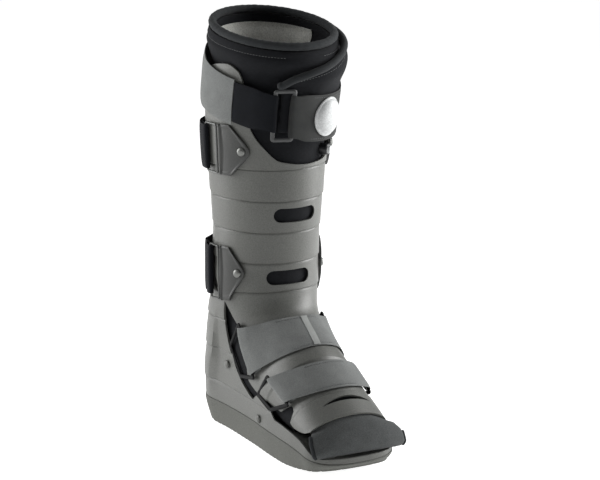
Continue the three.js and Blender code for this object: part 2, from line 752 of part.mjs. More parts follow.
function makeLiner() {
  const wallAt = (station) => mix(FOOT_LINER_WALL, LINER_WALL, smoothStep(100, 200, station));
  const rings = (inset) => [
    linerRing(TOP_STATION, inset(TOP_STATION), LINER_TOP_DROP),
    ...LINER_STATIONS.map((station) => linerRing(station, inset(station), 0)),
    linerRing(LINER_TOE_STATION, inset(LINER_TOE_STATION), 0),
  ];
  const sock = toManifold(openTube(rings(() => 0), rings(wallAt)));
  return largestPart(cut(sock, rearWallSpace()));
}
addPiece('liner', fromManifold(makeLiner()), linerFabric);

// Rolled binding round the cuff's rim
const RIM_SIDES = 32;
const TUBE_SIDES = 8;
const RIM_TUBE_SIDES = 6;

function makeRimBinding() {
  const ring = formRing(TOP_STATION);
  const up = new THREE.Vector3(0, Math.sin(ring.lean), Math.cos(ring.lean));
  const middleLift = CUFF_LIFT - LINER_WALL / 2;
  return hoop(evenly(RIM_SIDES, 0, 360).slice(0, -1).map((angle) => {
    const centre = formPoint(TOP_STATION, angle, middleLift);
    const out = formPoint(TOP_STATION, angle, middleLift + 1).sub(centre).normalize();
    return evenly(RIM_TUBE_SIDES, 0, 2 * Math.PI).slice(0, -1).map((turn) => centre.clone()
      .addScaledVector(out, BINDING_RADIUS * Math.cos(turn))
      .addScaledVector(up, BINDING_RADIUS * Math.sin(turn)));
  }));
}
addPiece('rim_binding', makeRimBinding(), bindingFabric);

// Pale lining pad inside the back of the cuff
const PAD_THICKNESS = 3;
function makeLiningPad() {
  const grid = (depth) => [365, 412, 430, CUFF_STATION].map((station) => (
    evenly(8, 108, 252).map((angle) => formPoint(
      station,
      angle,
      linerLift(station, 180) - LINER_WALL - 2 * SEAT_GAP - depth,
    ))));
  return slab(grid(0), grid(PAD_THICKNESS));
}
addPiece('lining_pad', makeLiningPad(), paleLining);

// Overlap flap: the padded end of the cuff, wrapped over its front from the right

// The flap's edge: the height of its top and its thickness at each angle.
const FLAP = [
  { angle: -20, top: 0.853, bottom: 0.742, lift: 2.0 },
  { angle: -12, top: 0.875, bottom: 0.742, lift: 2.4 },
  { angle: 2, top: 0.893, bottom: 0.742, lift: 2.7 },
  { angle: 16, top: 0.906, bottom: 0.742, lift: 4.8 },
  { angle: 34, top: 0.921, bottom: 0.742, lift: 4.9 },
  { angle: 50, top: 0.934, bottom: 0.742, lift: 4.9 },
  { angle: 60, top: 0.940, bottom: 0.80, lift: 5.2 },
  { angle: 68, top: 0.942, bottom: 0.922, lift: 5.0 },
  { angle: 84, top: 0.944, bottom: 0.925, lift: 4.6 },
  { angle: 98, top: 0.946, bottom: 0.928, lift: 4.2 },
];
const FLAP_BULGE = 5;

const FLAP_ANGLES = [-20, -12, 2, 16, 26, 36, 46, 56, 62, 68, 84, 98];

function flapInner(station, angle) {
  return linerLift(station, angle) + 3.4 * SEAT_GAP;
}

function makeFlap() {
  const grid = (outer) => evenly(5, 0, 1).map((share) => FLAP_ANGLES.map((angle) => {
    const column = (name) => smoothValue(FLAP, 'angle', name, angle);
    const station = stationAtHeight(mix(column('bottom'), column('top'), share) * BOOT_HEIGHT);
    const bulge = FLAP_BULGE * smoothStep(0.5, 0.8, share) * (1 - smoothStep(0.8, 1, share));
    const lift = Math.max(column('lift') + bulge * smoothStep(-10, 30, angle), linerLift(station, angle) + 5);
    return formPoint(station, angle, outer ? lift : flapInner(station, angle));
  }));
  return slab(grid(true), grid(false));
}
addPiece('cuff_flap', makeFlap(), linerFabric);

// A tube along a smooth curve through a few points, with flat ends.
function tubeAlong(points, radius, steps) {
  const circle = new THREE.Shape().absarc(0, 0, radius, 0, 2 * Math.PI, false);
  return new THREE.ExtrudeGeometry(circle, {
    steps,
    curveSegments: TUBE_SIDES / 2,
    bevelEnabled: false,
    extrudePath: new THREE.CatmullRomCurve3(points),
  });
}

function makeFlapBinding() {
  const radius = BINDING_RADIUS * 0.9;
  const points = FLAP_ANGLES.map((angle) => {
    const height = smoothValue(FLAP, 'angle', 'top', angle) * BOOT_HEIGHT;
    const station = stationAtHeight(height);
    const lift = Math.max(smoothValue(FLAP, 'angle', 'lift', angle), linerLift(station, angle) + 5);
    const clear = linerLift(CUFF_STATION, angle) + radius + 1;
    return formPoint(station + radius + 3.5 * SEAT_GAP, angle, Math.max(lift + radius * 0.2, clear));
  });
  const first = points[0].clone().sub(points[1]).setLength(3);
  return tubeAlong([points[0].clone().add(first), ...points], radius, 16);
}
addPiece('flap_binding', makeFlapBinding(), bindingFabric);

// Straps: each is a band along a short path of angle and lift

// A band whose middle follows a path; its width lies along the stations.
function strapBand(path, thickness, width, middleAt, cells, degree) {
  const side = (sign) => path.map((point, i) => {
    const before = path[Math.max(i - 1, 0)];
    const after = path[Math.min(i + 1, path.length - 1)];
    const along = (after[0] - before[0]) * degree;
    const rise = after[1] - before[1];
    const length = Math.hypot(along, rise);
    const angle = point[0] - (sign * thickness / 2) * (rise / length) / degree;
    const lift = point[1] + (sign * thickness / 2) * (along / length);
    const half = (typeof width === 'function' ? width(point[0]) : width) / 2;
    return evenly(cells, -half, half).map((offset) => formPoint(middleAt(point[0]) + offset, angle, lift));
  });
  return slab(side(1), side(-1));
}

// Path points round a bar, from one side of it to the other.
function roundBar(angle, lift, radius, degree, from, to) {
  return evenly(4, from, to).map((turn) => [
    angle + radius * Math.cos(rad(turn)) / degree,
    lift + radius * Math.sin(rad(turn)),
  ]);
}

const FOLD_RADIUS = LOOP_BAR / 2 + SEAT_GAP + STRAP_THICKNESS / 2;
const LAY = SEAT_GAP + STRAP_THICKNESS / 2;
const CALF_DEGREE = 1.25;
const FOOT_DEGREE = 0.95;

// The top strap's middle falls towards the front, stays level at the buckle and clears the plate.
const BUCKLE_ANGLE = -17;
const RIGHT_RAISE = 15;
function topStrapMiddle(angle) {
  const turn = ((angle + 540) % 360) - 180;
  const raise = RIGHT_RAISE * smoothStep(55, 84, turn) * (1 - smoothStep(115, 165, turn));
  const fall = TOP_STRAP_TILT * Math.cos(rad(turn - TOP_STRAP_TURN));
  return stationAtHeight(TOP_STRAP_HEIGHT - fall + raise);
}

const BUCKLE_LIFT = 7;
const BUCKLE_WIDTH = 22;
const BUCKLE_HEIGHT = 57;
const RING_BAR = 1.5;
const RING_FOLD = RING_BAR + SEAT_GAP + STRAP_THICKNESS / 2;
const buckleReach = (BUCKLE_WIDTH / 2 - RING_BAR) / CALF_DEGREE;

// Grey strap round the back of the calf
const greyPath = [
  [-60, 4.0], [-72, 4.0], [-84, 3.9], [-98, 3.8], [-108, 2.5], [-120, 1.8],
  ...evenly(11, -132, -276).map((angle) => [angle, LAY + 0.6]),
];
addPiece('top_strap', strapBand(
  [...greyPath].reverse(),
  STRAP_THICKNESS,
  TOP_STRAP_WIDTH,
  topStrapMiddle,
  2,
  CALF_DEGREE,
), greyWebbing);

// Black hook-and-loop strap, folded round the buckle's left bar
const hookBar = BUCKLE_ANGLE - buckleReach;
const hookPath = [
  [-96, LAY + 0.6], [-84, LAY + 0.6], [-72, LAY + 0.6], [-62, LAY + 0.8], [-53, LAY + 1], [-46, 2.4],
  [hookBar - 6, BUCKLE_LIFT - RING_FOLD],
  ...roundBar(hookBar, BUCKLE_LIFT, RING_FOLD, CALF_DEGREE, -90, 90),
  [hookBar - 6, BUCKLE_LIFT + 1.4], [-46, 4.6], [-53, 3.9], [-59, 3.8],
];
const hookWidth = (angle) => mix(HOOK_STRAP_WIDTH, HOOK_STRAP_WIDTH * 0.88, smoothStep(-44, -32, angle));
addPiece('hook_strap', strapBand(
  [...hookPath].reverse(),
  STRAP_THICKNESS,
  hookWidth,
  topStrapMiddle,
  2,
  CALF_DEGREE,
), hookWebbing);

// Pump panel, folded round the buckle's right bar
const PANEL_LIFT = 7.4;
const panelBar = BUCKLE_ANGLE + buckleReach;
const panelPath = [
  [panelBar + 13, BUCKLE_LIFT - RING_FOLD + 0.1], [panelBar + 5, BUCKLE_LIFT - RING_FOLD],
  ...roundBar(panelBar, BUCKLE_LIFT, RING_FOLD, CALF_DEGREE, 270, 90),
  [panelBar + 8, BUCKLE_LIFT + RING_FOLD - 0.8], [7, PANEL_LIFT + 0.8],
  ...[16, 26, 36, 47].map((angle) => [angle, PANEL_LIFT]), [57, PANEL_LIFT - 0.2],
  [66, 6.2], [76, 4.9], [88, 4.4], [98, 4.2],
];
const panelWidth = (angle) => PANEL_WIDTH * mix(
  mix(0.91, 1, smoothStep(-6, 4, angle)),
  0.72,
  smoothStep(60, 80, angle),
);
addPiece('pump_panel', strapBand(
  panelPath,
  STRAP_THICKNESS,
  panelWidth,
  topStrapMiddle,
  2,
  CALF_DEGREE,
), panelWebbing);

// A four-sided loop through its corners; a side may also be given a middle that it bends through.
function wireLoop(corners, out, radius, middles = []) {
  const chamfer = radius * 1.6;
  const centres = corners.flatMap((corner, i) => {
    const before = middles[(i + 3) % 4] ?? corners[(i + 3) % 4];
    const after = middles[i] ?? corners[(i + 1) % 4];
    const near = [before, after].map((other) => (
      corner.clone().add(other.clone().sub(corner).setLength(chamfer))));
    return middles[i] ? [...near, middles[i]] : near;
  });
  const count = centres.length;
  return hoop(centres.map((centre, i) => {
    const along = centres[(i + 1) % count].clone().sub(centres[(i + count - 1) % count]).normalize();
    const across = new THREE.Vector3().crossVectors(along, out).normalize();
    const normal = new THREE.Vector3().crossVectors(across, along).normalize();
    return evenly(4, 0, 2 * Math.PI).slice(0, -1).map((turn) => centre.clone()
      .addScaledVector(normal, radius * Math.cos(turn))
      .addScaledVector(across, radius * Math.sin(turn)));
  }));
}

const buckleHalf = BUCKLE_HEIGHT / 2 - RING_BAR;
const buckleMiddle = topStrapMiddle(BUCKLE_ANGLE);
const buckleCorners = [[hookBar, -1], [panelBar, -1], [panelBar, 1], [hookBar, 1]].map(([angle, up]) => (
  formPoint(buckleMiddle + up * buckleHalf, angle, BUCKLE_LIFT)));
const buckleMiddles = [null, panelBar, null, hookBar].map((angle) => (
  angle === null ? null : formPoint(buckleMiddle, angle, BUCKLE_LIFT)));
const buckleOut = formPoint(buckleMiddle, BUCKLE_ANGLE, 1).sub(formPoint(buckleMiddle, BUCKLE_ANGLE, 0));
addPiece('ring_buckle', wireLoop(buckleCorners, buckleOut, RING_BAR, buckleMiddles), buckleNylon);

// The closed form between two stations, moved outwards by a lift: used to seat round pieces.
function formBody(lift, stations) {
  return toManifold(ladderLoft(stations.map((station) => (
    evenly(32, 0, 360).slice(0, -1).map((angle) => formPoint(station, angle, lift))))));
}

// A turned piece on the form, from a closed profile of radius and height.
function turned(profile, station, angle, lift, segments) {
  const geometry = new THREE.LatheGeometry(profile.map(([r, h]) => new THREE.Vector2(r, h)), segments);
  geometry.rotateX(Math.PI / 2);
  geometry.applyMatrix4(formFrame(station, angle, lift));
  return geometry;
}

// Pump bulb on the panel
const PUMP_ANGLE = 26;
const PANEL_FACE = PANEL_LIFT + STRAP_THICKNESS / 2;
function makePump() {
  const dome = evenly(4, 0, 90).map((turn) => [
    PUMP_RADIUS * Math.cos(rad(turn)),
    PUMP_HEIGHT * Math.sin(rad(turn)),
  ]);
  dome[dome.length - 1][0] = 0;
  const station = topStrapMiddle(PUMP_ANGLE) + 1;
  const bulb = toManifold(turned([[0, -4], [PUMP_RADIUS, -4], ...dome], station, PUMP_ANGLE, PANEL_FACE, 20));
  const seatStations = evenly(2, station + PANEL_WIDTH / 2, station - PANEL_WIDTH / 2);
  const seat = formBody(PANEL_FACE + 2.5 * SEAT_GAP, seatStations);
  return largestPart(cut(bulb, seat));
}
addPiece('pump_bulb', fromManifold(makePump()), pumpSilicone);

// Release valve in the scallop, with a push button
const VALVE_ANGLE = 38.5;
const VALVE_HEIGHT = 0.692;
const BUTTON_RECESS = 4;
function makeValve() {
  const station = stationAtHeight(VALVE_HEIGHT * BOOT_HEIGHT);
  const base = linerLift(station, VALVE_ANGLE);
  const bore = BUTTON_RADIUS + 0.4;
  const collar = [
    [0, -2], [VALVE_RADIUS, -2], [VALVE_RADIUS, VALVE_LENGTH - 1], [VALVE_RADIUS - 0.8, VALVE_LENGTH],
    [bore, VALVE_LENGTH], [bore, VALVE_LENGTH - BUTTON_RECESS], [0, VALVE_LENGTH - BUTTON_RECESS],
  ];
  const seat = formBody(base + 1.3 * SEAT_GAP, [station + 20, station, station - 20]);
  const body = largestPart(cut(toManifold(turned(collar, station, VALVE_ANGLE, base, 12)), seat));
  const foot = VALVE_LENGTH - BUTTON_RECESS + BUTTON_TRAVEL + SEAT_GAP;
  const top = VALVE_LENGTH + 3;
  const edge = 0.8;
  const button = [
    [0, foot], [BUTTON_RADIUS, foot], [BUTTON_RADIUS, top - edge], [BUTTON_RADIUS - edge, top], [0, top],
  ];
  return { body: fromManifold(body), button: turned(button, station, VALVE_ANGLE, base, 12) };
}
const valve = makeValve();
addPiece('valve_collar', valve.body, valveBlack);
addPiece('valve_button', valve.button, pumpSilicone);

// Calf plates, each with a wire loop, a rivet and a share of a strap round the back
const PLATES = [
  { name: 'upper', height: 0.698, rear: 74, tip: 44, behind: -1.1 },
  { name: 'lower', height: 0.404, rear: 80, tip: 50, behind: 2.9 },
];
const LOOP_SPAN = 15;

function plateFront(share, rear, tip) {
  const shoulder = rear - 11;
  const blunt = 0.06;
  const rounded = (at) => Math.sqrt(at * at + blunt) - Math.sqrt(blunt);
  return mix(tip, shoulder, rounded(share) / rounded(1));
}

function makePlate(side, middle, rear, tip) {
  const rows = [-1, -0.6, -0.2, 0.2, 0.6, 1];
  const grid = (lift) => rows.map((share) => {
    const front = plateFront(Math.abs(share), rear, tip);
    return [0, 0.14, 0.55, 1].map((across, i) => formPoint(
      middle + share * PLATE_HEIGHT / 2,
      side * mix(rear, front, across),
      lift + (i === 0 ? 1.6 : 0),
    ));
  });
  return slab(grid(2.5 * SEAT_GAP + PLATE_THICKNESS), grid(2.5 * SEAT_GAP));
}

const rivetProfile = [
  [0, 0], [RIVET_RADIUS, 0], [RIVET_RADIUS * 0.85, 1.4], [RIVET_RADIUS * 0.4, 2.1], [0, 2.3],
];
const RIGHT_TURN = 7;

PLATES.forEach(({ name, height, rear, tip, behind }) => {
  const middle = stationAtHeight(height * BOOT_HEIGHT);
  const half = (PLATE_HEIGHT - LOOP_BAR) / 2;
  const loopLift = 2 * SEAT_GAP + STRAP_THICKNESS + LOOP_BAR / 2 + 0.4;
  [['left', -1], ['right', 1]].forEach(([word, side]) => {
    const turn = side > 0 ? RIGHT_TURN : 0;
    const near = rear + 2.6 + turn;
    const far = near + LOOP_SPAN;
    const corners = [[near, -half], [far, -half], [far, half], [near, half]].map(([angle, up]) => (
      formPoint(middle + up, side * angle, loopLift)));
    const between = side * (near + far) / 2;
    const out = formPoint(middle, between, 1).sub(formPoint(middle, between, 0));
    addPiece(`${name}_plate_${word}`, makePlate(side, middle, rear + turn, tip + turn), plateNylon);
    addPiece(`${name}_loop_${word}`, wireLoop(corners, out, LOOP_BAR / 2), steelWire);
    addPiece(
      `${name}_rivet_${word}`,
      turned(rivetProfile, middle, side * (tip + 7.5 + turn), SEAT_GAP * 3.9 + PLATE_THICKNESS, 8),
      rivetSteel,
    );
  });
  const end = (turn) => {
    const bar = rear + 2.6 + LOOP_SPAN + turn;
    return [[bar + 24, behind], [bar + 14, LAY + 0.2], [bar + 5, LAY + 0.2],
      ...roundBar(bar, loopLift, FOLD_RADIUS, CALF_DEGREE, -90, -270),
      [bar + 7, loopLift + FOLD_RADIUS - 0.6], [bar + 18, 3.2], [bar + 28, behind + 2.2], [bar + 38, behind]];
  };
  const rightEnd = end(RIGHT_TURN);
  const leftEnd = end(0).map(([angle, lift]) => [360 - angle, lift]).reverse();
  const from = rightEnd[rightEnd.length - 1][0] + 10;
  const to = leftEnd[0][0] - 10;
  const backPath = evenly(8, from, to).map((angle) => [angle, behind]);
  addPiece(`${name}_calf_strap`, strapBand(
    [...rightEnd, ...backPath, ...leftEnd],
    STRAP_THICKNESS,
    CALF_STRAP_WIDTH,
    () => middle,
    1,
    CALF_DEGREE,
  ), hookWebbing);
});

// Foot straps over the instep and the toes, each between two wire loops
const FOLD_ANGLE = 68;
const FOOT_STRAPS = [
  { name: 'ankle', station: 114, sweep: 14, width: ANKLE_STRAP_WIDTH, loopFrom: 0.045, loopTo: 0.115 },
  { name: 'forefoot', station: 49, sweep: 15, width: TOE_STRAP_WIDTH, loopFrom: 0.262, loopTo: 0.37 },
];

// A point just above the edge of the rear shell's side, in the middle of its wall.
function edgePoint(along, side) {
  const after = REAR_EDGE.findIndex((row, i) => i > 1 && row.along >= along);
  const [a, b] = [REAR_EDGE[after - 1], REAR_EDGE[after]];
  const share = (along - a.along) / (b.along - a.along);
  const climb = (b.height - a.height) * BOOT_HEIGHT;
  const run = new THREE.Vector2((b.along - a.along) * SOLE_LENGTH, climb).normalize();
  const clear = LOOP_BAR / 2 + 3 * SEAT_GAP;
  const y = -along * SOLE_LENGTH + run.y * clear;
  const z = mix(a.height, b.height, share) * BOOT_HEIGHT + run.x * clear;
  return new THREE.Vector3(side * (rearSide(y, z) - SHELL_WALL / 2), y, z);
}

FOOT_STRAPS.forEach(({ name, station, sweep, width, loopFrom, loopTo }) => {
  const fold = FOLD_ANGLE;
  const middleAt = (angle) => station + sweep * (Math.min(Math.abs(angle), 90) / 75) ** 2;
  const barLift = SEAT_GAP * 2 + STRAP_THICKNESS + LOOP_BAR / 2 + 0.3;
  const lay = LAY + 0.4;
  const around = roundBar(fold, barLift, FOLD_RADIUS, FOOT_DEGREE, -90, 90);
  const rightEnd = [[fold - 12, lay], [fold - 5, lay], ...around, [fold - 6, barLift + FOLD_RADIUS - 0.4],
    [fold - 14, lay + 2.4], [fold - 24, lay + 0.5], [fold - 34, lay]];
  const leftEnd = rightEnd.map(([angle, lift]) => [-angle, lift]).reverse();
  const crown = evenly(3, fold - 44, 44 - fold).map((angle) => [angle, lay]);
  addPiece(`${name}_strap`, strapBand(
    [...rightEnd, ...crown, ...leftEnd].reverse(),
    STRAP_THICKNESS,
    width,
    middleAt,
    2,
    FOOT_DEGREE,
  ), greyWebbing);
  const reach = 1 + 2 * (LOOP_BAR + 4 * SEAT_GAP) / width;
  [['left', -1], ['right', 1]].forEach(([word, side]) => {
    const middle = formPoint(middleAt(fold), side * fold, barLift);
    const barEnd = (up) => formPoint(middleAt(fold) + up * width / 2, side * fold, barLift)
      .sub(middle).multiplyScalar(reach).add(middle);
    const corners = [barEnd(-1), edgePoint(loopTo, side), edgePoint(loopFrom, side), barEnd(1)];
    const outward = new THREE.Vector3(side, 0, 0);
    const loop = wireLoop(corners, outward, LOOP_BAR / 2, [null, null, null, middle]);
    addPiece(`${name}_loop_${word}`, loop, buckleNylon);
  });
});

// Rivets that hold the foot loops to the rear shell
const SHELL_RIVETS = [
  { name: 'ankle', along: 0.02, height: 0.168 },
  { name: 'forefoot', along: 0.279, height: 0.079 },
];

SHELL_RIVETS.forEach(({ name, along, height }) => {
  const y = -along * SOLE_LENGTH;
  const z = height * BOOT_HEIGHT;
  [['left', -1], ['right', 1]].forEach(([word, side]) => {
    const points = rivetProfile.map(([r, h]) => new THREE.Vector2(r, h));
    const geometry = new THREE.LatheGeometry(points, 8);
    geometry.rotateZ((-side * Math.PI) / 2);
    geometry.translate(side * (rearSide(y, z) + 2 * SEAT_GAP), y, z);
    addPiece(`${name}_rivet_${word}`, geometry, shellPlastic);
  });
});

// Toe cover: the soft boot's padded front, with piping at its two side edges
// Rows from under the shell's toe edge down to the sole: the middle's place and the half width,
// with how far the two ends sit back and down from the middle, all in shares of the sole length.
const TOE_COVER = [
  { along: 0.675, height: 0.185, half: 0.160, shift: 0.012, behind: 0.036, below: 0.042 },
  { along: 0.696, height: 0.148, half: 0.175, shift: 0.023, behind: 0.036, below: 0.033 },
  { along: 0.705, height: 0.113, half: 0.177, shift: 0.026, behind: 0.031, below: 0.017 },
  { along: 0.702, height: 0.086, half: 0.172, shift: 0.024, behind: 0.027, below: 0.000 },
];
const TOE_COVER_WALL = 4.5;
const TOE_TUCK = SHELL_WALL + 4 * SEAT_GAP;
const TUCK_STATIONS = [12, -3];
const TUCK_REACH = 72;
const PIPING_RADIUS = 2.1;

function toeCoverGrid(depth) {
  const spread = evenly(10, -1, 1);
  const tucked = TUCK_STATIONS.map((station) => spread.map((across) => (
    formPoint(station, across * TUCK_REACH, -TOE_TUCK - depth))));
  const free = TOE_COVER.map(({ along, height, half, shift, behind, below }, row) => spread.map((across) => {
    const bend = Math.abs(across) ** 2.6 * SOLE_LENGTH;
    const lean = mix(45, -4, row / (TOE_COVER.length - 1));
    return new THREE.Vector3(
      (shift + across * half) * SOLE_LENGTH,
      -along * SOLE_LENGTH + bend * behind + depth * Math.cos(rad(lean)),
      height * SOLE_LENGTH - bend * below - depth * Math.sin(rad(lean)),
    );
  }));
  return [...tucked, ...free];
}
addPiece('toe_cover', slab(toeCoverGrid(0), toeCoverGrid(TOE_COVER_WALL)), toeFabric);

[['left', -1], ['right', 1]].forEach(([word, side]) => {
  const grid = toeCoverGrid(TOE_COVER_WALL * 0.5).slice(TUCK_STATIONS.length);
  const edge = grid.map((row) => row[side < 0 ? 0 : row.length - 1].clone());
  edge.forEach((point) => point.setX(point.x + side * (PIPING_RADIUS + 1.7 * SEAT_GAP)));
  edge[edge.length - 1].lerp(edge[edge.length - 2], 0.5);
  addPiece(`toe_piping_${word}`, tubeAlong(edge, PIPING_RADIUS, 6), bindingFabric);
});

export default boot;
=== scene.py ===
"""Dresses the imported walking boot: finer surfaces, fabrics, plastics, stitching and a studio."""

import math
from functools import lru_cache

import bmesh
import bpy
from mathutils import Matrix, Vector


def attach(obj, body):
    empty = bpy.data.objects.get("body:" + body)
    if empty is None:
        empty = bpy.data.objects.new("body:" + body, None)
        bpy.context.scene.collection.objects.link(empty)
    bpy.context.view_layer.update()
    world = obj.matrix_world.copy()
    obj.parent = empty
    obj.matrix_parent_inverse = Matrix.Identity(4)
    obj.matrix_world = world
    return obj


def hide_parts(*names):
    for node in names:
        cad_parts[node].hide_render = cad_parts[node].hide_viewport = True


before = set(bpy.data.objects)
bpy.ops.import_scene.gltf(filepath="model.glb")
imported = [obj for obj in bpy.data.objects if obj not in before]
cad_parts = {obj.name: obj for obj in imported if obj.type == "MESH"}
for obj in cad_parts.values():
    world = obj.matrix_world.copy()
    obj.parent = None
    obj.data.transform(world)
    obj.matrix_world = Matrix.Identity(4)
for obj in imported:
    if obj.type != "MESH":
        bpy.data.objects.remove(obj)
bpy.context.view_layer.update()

bl_info = {
    "name": "Walking Boot",
    "version": (1, 0, 0),
    "blender": (4, 5, 0),
    "location": "View3D > Sidebar > Boot",
    "description": "Builds the surfaces, fabrics and hardware of a medical walking boot",
    "category": "Object",
}

MM = 0.001

# Sizes of the boot, in millimetres
BOOT_HEIGHT = 470.0
SOLE_LENGTH = 302.0
CALF_HALF_WIDTH = 60.0
CALF_HALF_DEPTH = 69.0
FOOT_HALF_WIDTH = 54.0
SEAT_GAP = 0.35
STEP_HALF = 0.35
LIP = 1.6
# Rows of the ledge under each band: height from its line, depth in steps
LEDGE = ((STEP_HALF, 0), (-STEP_HALF, 1.1), (-1.0, LIP), (-2.0, 1))
LEDGE_REACH = 2.2
FOOTBED_WALL = 3.0
LINER_WALL = 7.0
FOOT_LINER_WALL = 5.0
SOLE_HEIGHT = 29.0
SOLE_EDGE_INSET = 5.5
HEEL_RISE = 17.0
TOE_RISE = 12.0
TREAD_GROOVE = 2.4
TREAD_DEPTH = 1.8
TREAD_PITCH = 9.2
STRAP_THICKNESS = 1.6
LOOP_BAR = 2.4
BINDING_RADIUS = 4.4
CALF_DEGREE = 1.25
FOOT_DEGREE = 0.95
LAY = SEAT_GAP + STRAP_THICKNESS / 2

# The form over the boot's front, a ring a row: station, along, height, lean, half, front, back, shift
FORM = (
    (-6, 0.656, 0.143, 60, 0.82, 0.406, 0.27, 0),
    (14, 0.599, 0.167, 59, 0.85, 0.522, 0.31, 0),
    (34, 0.546, 0.190, 58, 0.85, 0.609, 0.38, 0),
    (64, 0.464, 0.226, 57, 0.86, 0.735, 0.51, 0),
    (85, 0.405, 0.254, 55, 0.87, 0.855, 0.63, 0),
    (109, 0.337, 0.278, 50, 0.88, 0.945, 0.84, 0),
    (134, 0.262, 0.301, 34, 0.90, 0.970, 1.71, 0),
    (151, 0.219, 0.324, 17, 0.93, 0.928, 1.20, 0),
    (167, 0.204, 0.357, 5, 0.99, 0.899, 1.03, 0),
    (187, 0.202, 0.398, 0, 1.00, 0.884, 1.00, 0),
    (232, 0.219, 0.494, 0, 1.00, 0.957, 1.00, 0),
    (257, 0.230, 0.547, 0, 1.03, 1.007, 1.015, 0),
    (283, 0.237, 0.602, 0, 1.067, 1.036, 1.036, 0),
    (305, 0.242, 0.649, 0, 1.10, 1.058, 1.058, 0),
    (365, 0.255, 0.777, 0, 1.167, 1.10, 1.10, 0.02),
    (400, 0.275, 0.849, -1, 1.183, 1.13, 1.087, 0.04),
    (420, 0.291, 0.874, -5, 1.18, 1.145, 1.09, 0.035),
    (440, 0.308, 0.906, -8, 1.167, 1.145, 1.10, 0.03),
    (456, 0.301, 0.944, -9.6, 1.10, 1.09, 1.09, 0.02),
)
TOP_STATION, CALF_STATION, TOE_STATION = 456, 187, -6
# The heel and calf behind: height, middle, half, back
HEEL = (
    (0.00, 0.50, 0.80, 0.65), (0.07, 0.52, 0.86, 0.74), (0.12, 0.49, 0.90, 0.77),
    (0.205, 0.29, 0.955, 0.885), (0.245, 0.22, 0.967, 0.93), (0.32, 0.06, 0.965, 1.03),
    (0.36, 0.01, 0.98, 1.01), (0.398, 0.0, 1.0, 1.0),
)
# The sole's half width along the foot, and the height where the rear shell meets it
FOOT = ((-0.12, 0.955), (0.0, 0.925), (0.20, 0.95), (0.37, 1.0), (0.50, 1.005), (0.60, 0.97))
PARTING = ((-0.28, 0.93), (-0.12, 1.0), (0.20, 1.06), (0.50, 0.98), (0.66, 0.72), (0.72, 0.61))
TOE_END, TOE_ROUND, TOE_SQUARENESS = 0.712, 0.60, 2.5
FLAT_HEEL, FLAT_BALL, HEEL_END = -0.12, 0.43, -0.29
HEEL_CURVE, TOE_CURVE = 1.45, 1.4
BANDS = (0.657, 0.582, 0.506, 0.431, 0.355)
REAR_BANDS = (0.657, 0.582, 0.506, 0.431, 0.355, 0.279, 0.2, 0.113)
FRONT_REACH = 97
BAND_TOP_STATION = 307
REAR_TOP = 0.825
# How far the front shell reaches round at each station, in degrees
WRAP = (
    (-6, 72), (0, 84), (18, 90), (27, 86), (31, 68), (38, 68), (46, 90), (66, 99), (84, 103),
    (104, 98), (120, 78), (134, 66), (151, 73), (167, 84), (187, 97), (456, 97),
)
SCALLOP_TURN = 12
# The front shell's top edge: angle, height
EARS = (
    (-116, 0.86), (-108, 0.883), (-96, 0.898), (-83, 0.905), (-72, 0.893), (-66, 0.864),
    (-61, 0.81), (-56, 0.752), (-45, 0.711), (-28, 0.675), (0, 0.6655), (28, 0.671),
    (42, 0.695), (50, 0.752), (55, 0.81), (59, 0.864), (65, 0.893), (74, 0.905), (88, 0.898),
)
# The front edge of the rear shell's sides: along, height
REAR_EDGE = (
    (0.026, REAR_TOP), (0.026, 0.27), (0.040, 0.225), (0.083, 0.168), (0.136, 0.140),
    (0.199, 0.121), (0.232, 0.115), (0.250, 0.133), (0.315, 0.122), (0.384, 0.110),
    (0.392, 0.098), (0.457, 0.096), (0.530, 0.090), (0.586, 0.081), (0.632, 0.068),
    (0.655, 0.056), (0.672, 0.052), (0.73, 0.051),
)
# Steps of the front shell's rows below its bands: station, share of the band's step
FRONT_STEPS = (
    (151, 0.4), (138, 0.4), (120, 0.4), (102, 0.4), (73.7, 0), (72.3, 1), (25.7, 1), (24.3, 0), (-6, 0),
)
TOE_BAND = (73.7, 72.3, 25.7, 24.3)
# Vent slots: height, angle
VENTS, VENT_LENGTH, VENT_HEIGHT = ((0.546, 3), (0.395, -1)), 52, 16
CRESCENT_STATION, CRESCENT_ANGLE, CRESCENT_LENGTH, CRESCENT_HEIGHT = 12, 4, 60, 7
SIDES = (("left", -1), ("right", 1))
SELVEDGES = (("upper", 1), ("lower", -1))
SEAM_INSET = 3


# Small maths

def clamp(value, low, high):
    return min(max(value, low), high)


def mix(a, b, share):
    return a + (b - a) * share


def spread(count, low, high):
    return [mix(low, high, i / count) for i in range(count + 1)]


def smooth_step(low, high, at):
    t = clamp((at - low) / (high - low), 0.0, 1.0)
    return t * t * (3 - 2 * t)


def smooth_value(table, column, at):
    """A smooth value of one column between a table's rows, without overshoot."""
    last = len(table) - 1
    x = clamp(at, table[0][0], table[last][0])
    i = 0
    while i < last - 1 and x > table[i + 1][0]:
        i += 1

    def rise(n):
        return (table[n + 1][column] - table[n][column]) / (table[n + 1][0] - table[n][0])

    def slope(n):
        if n == 0:
            return rise(0)
        if n == last:
            return rise(last - 1)
        before, after = rise(n - 1), rise(n)
        return 0.0 if before * after <= 0 else 2 * before * after / (before + after)

    span = table[i + 1][0] - table[i][0]
    t = (x - table[i][0]) / span
    t2, t3 = t * t, t * t * t
    return ((2 * t3 - 3 * t2 + 1) * table[i][column] + (t3 - 2 * t2 + t) * span * slope(i)
            + (3 * t2 - 2 * t3) * table[i + 1][column] + (t3 - t2) * span * slope(i + 1))


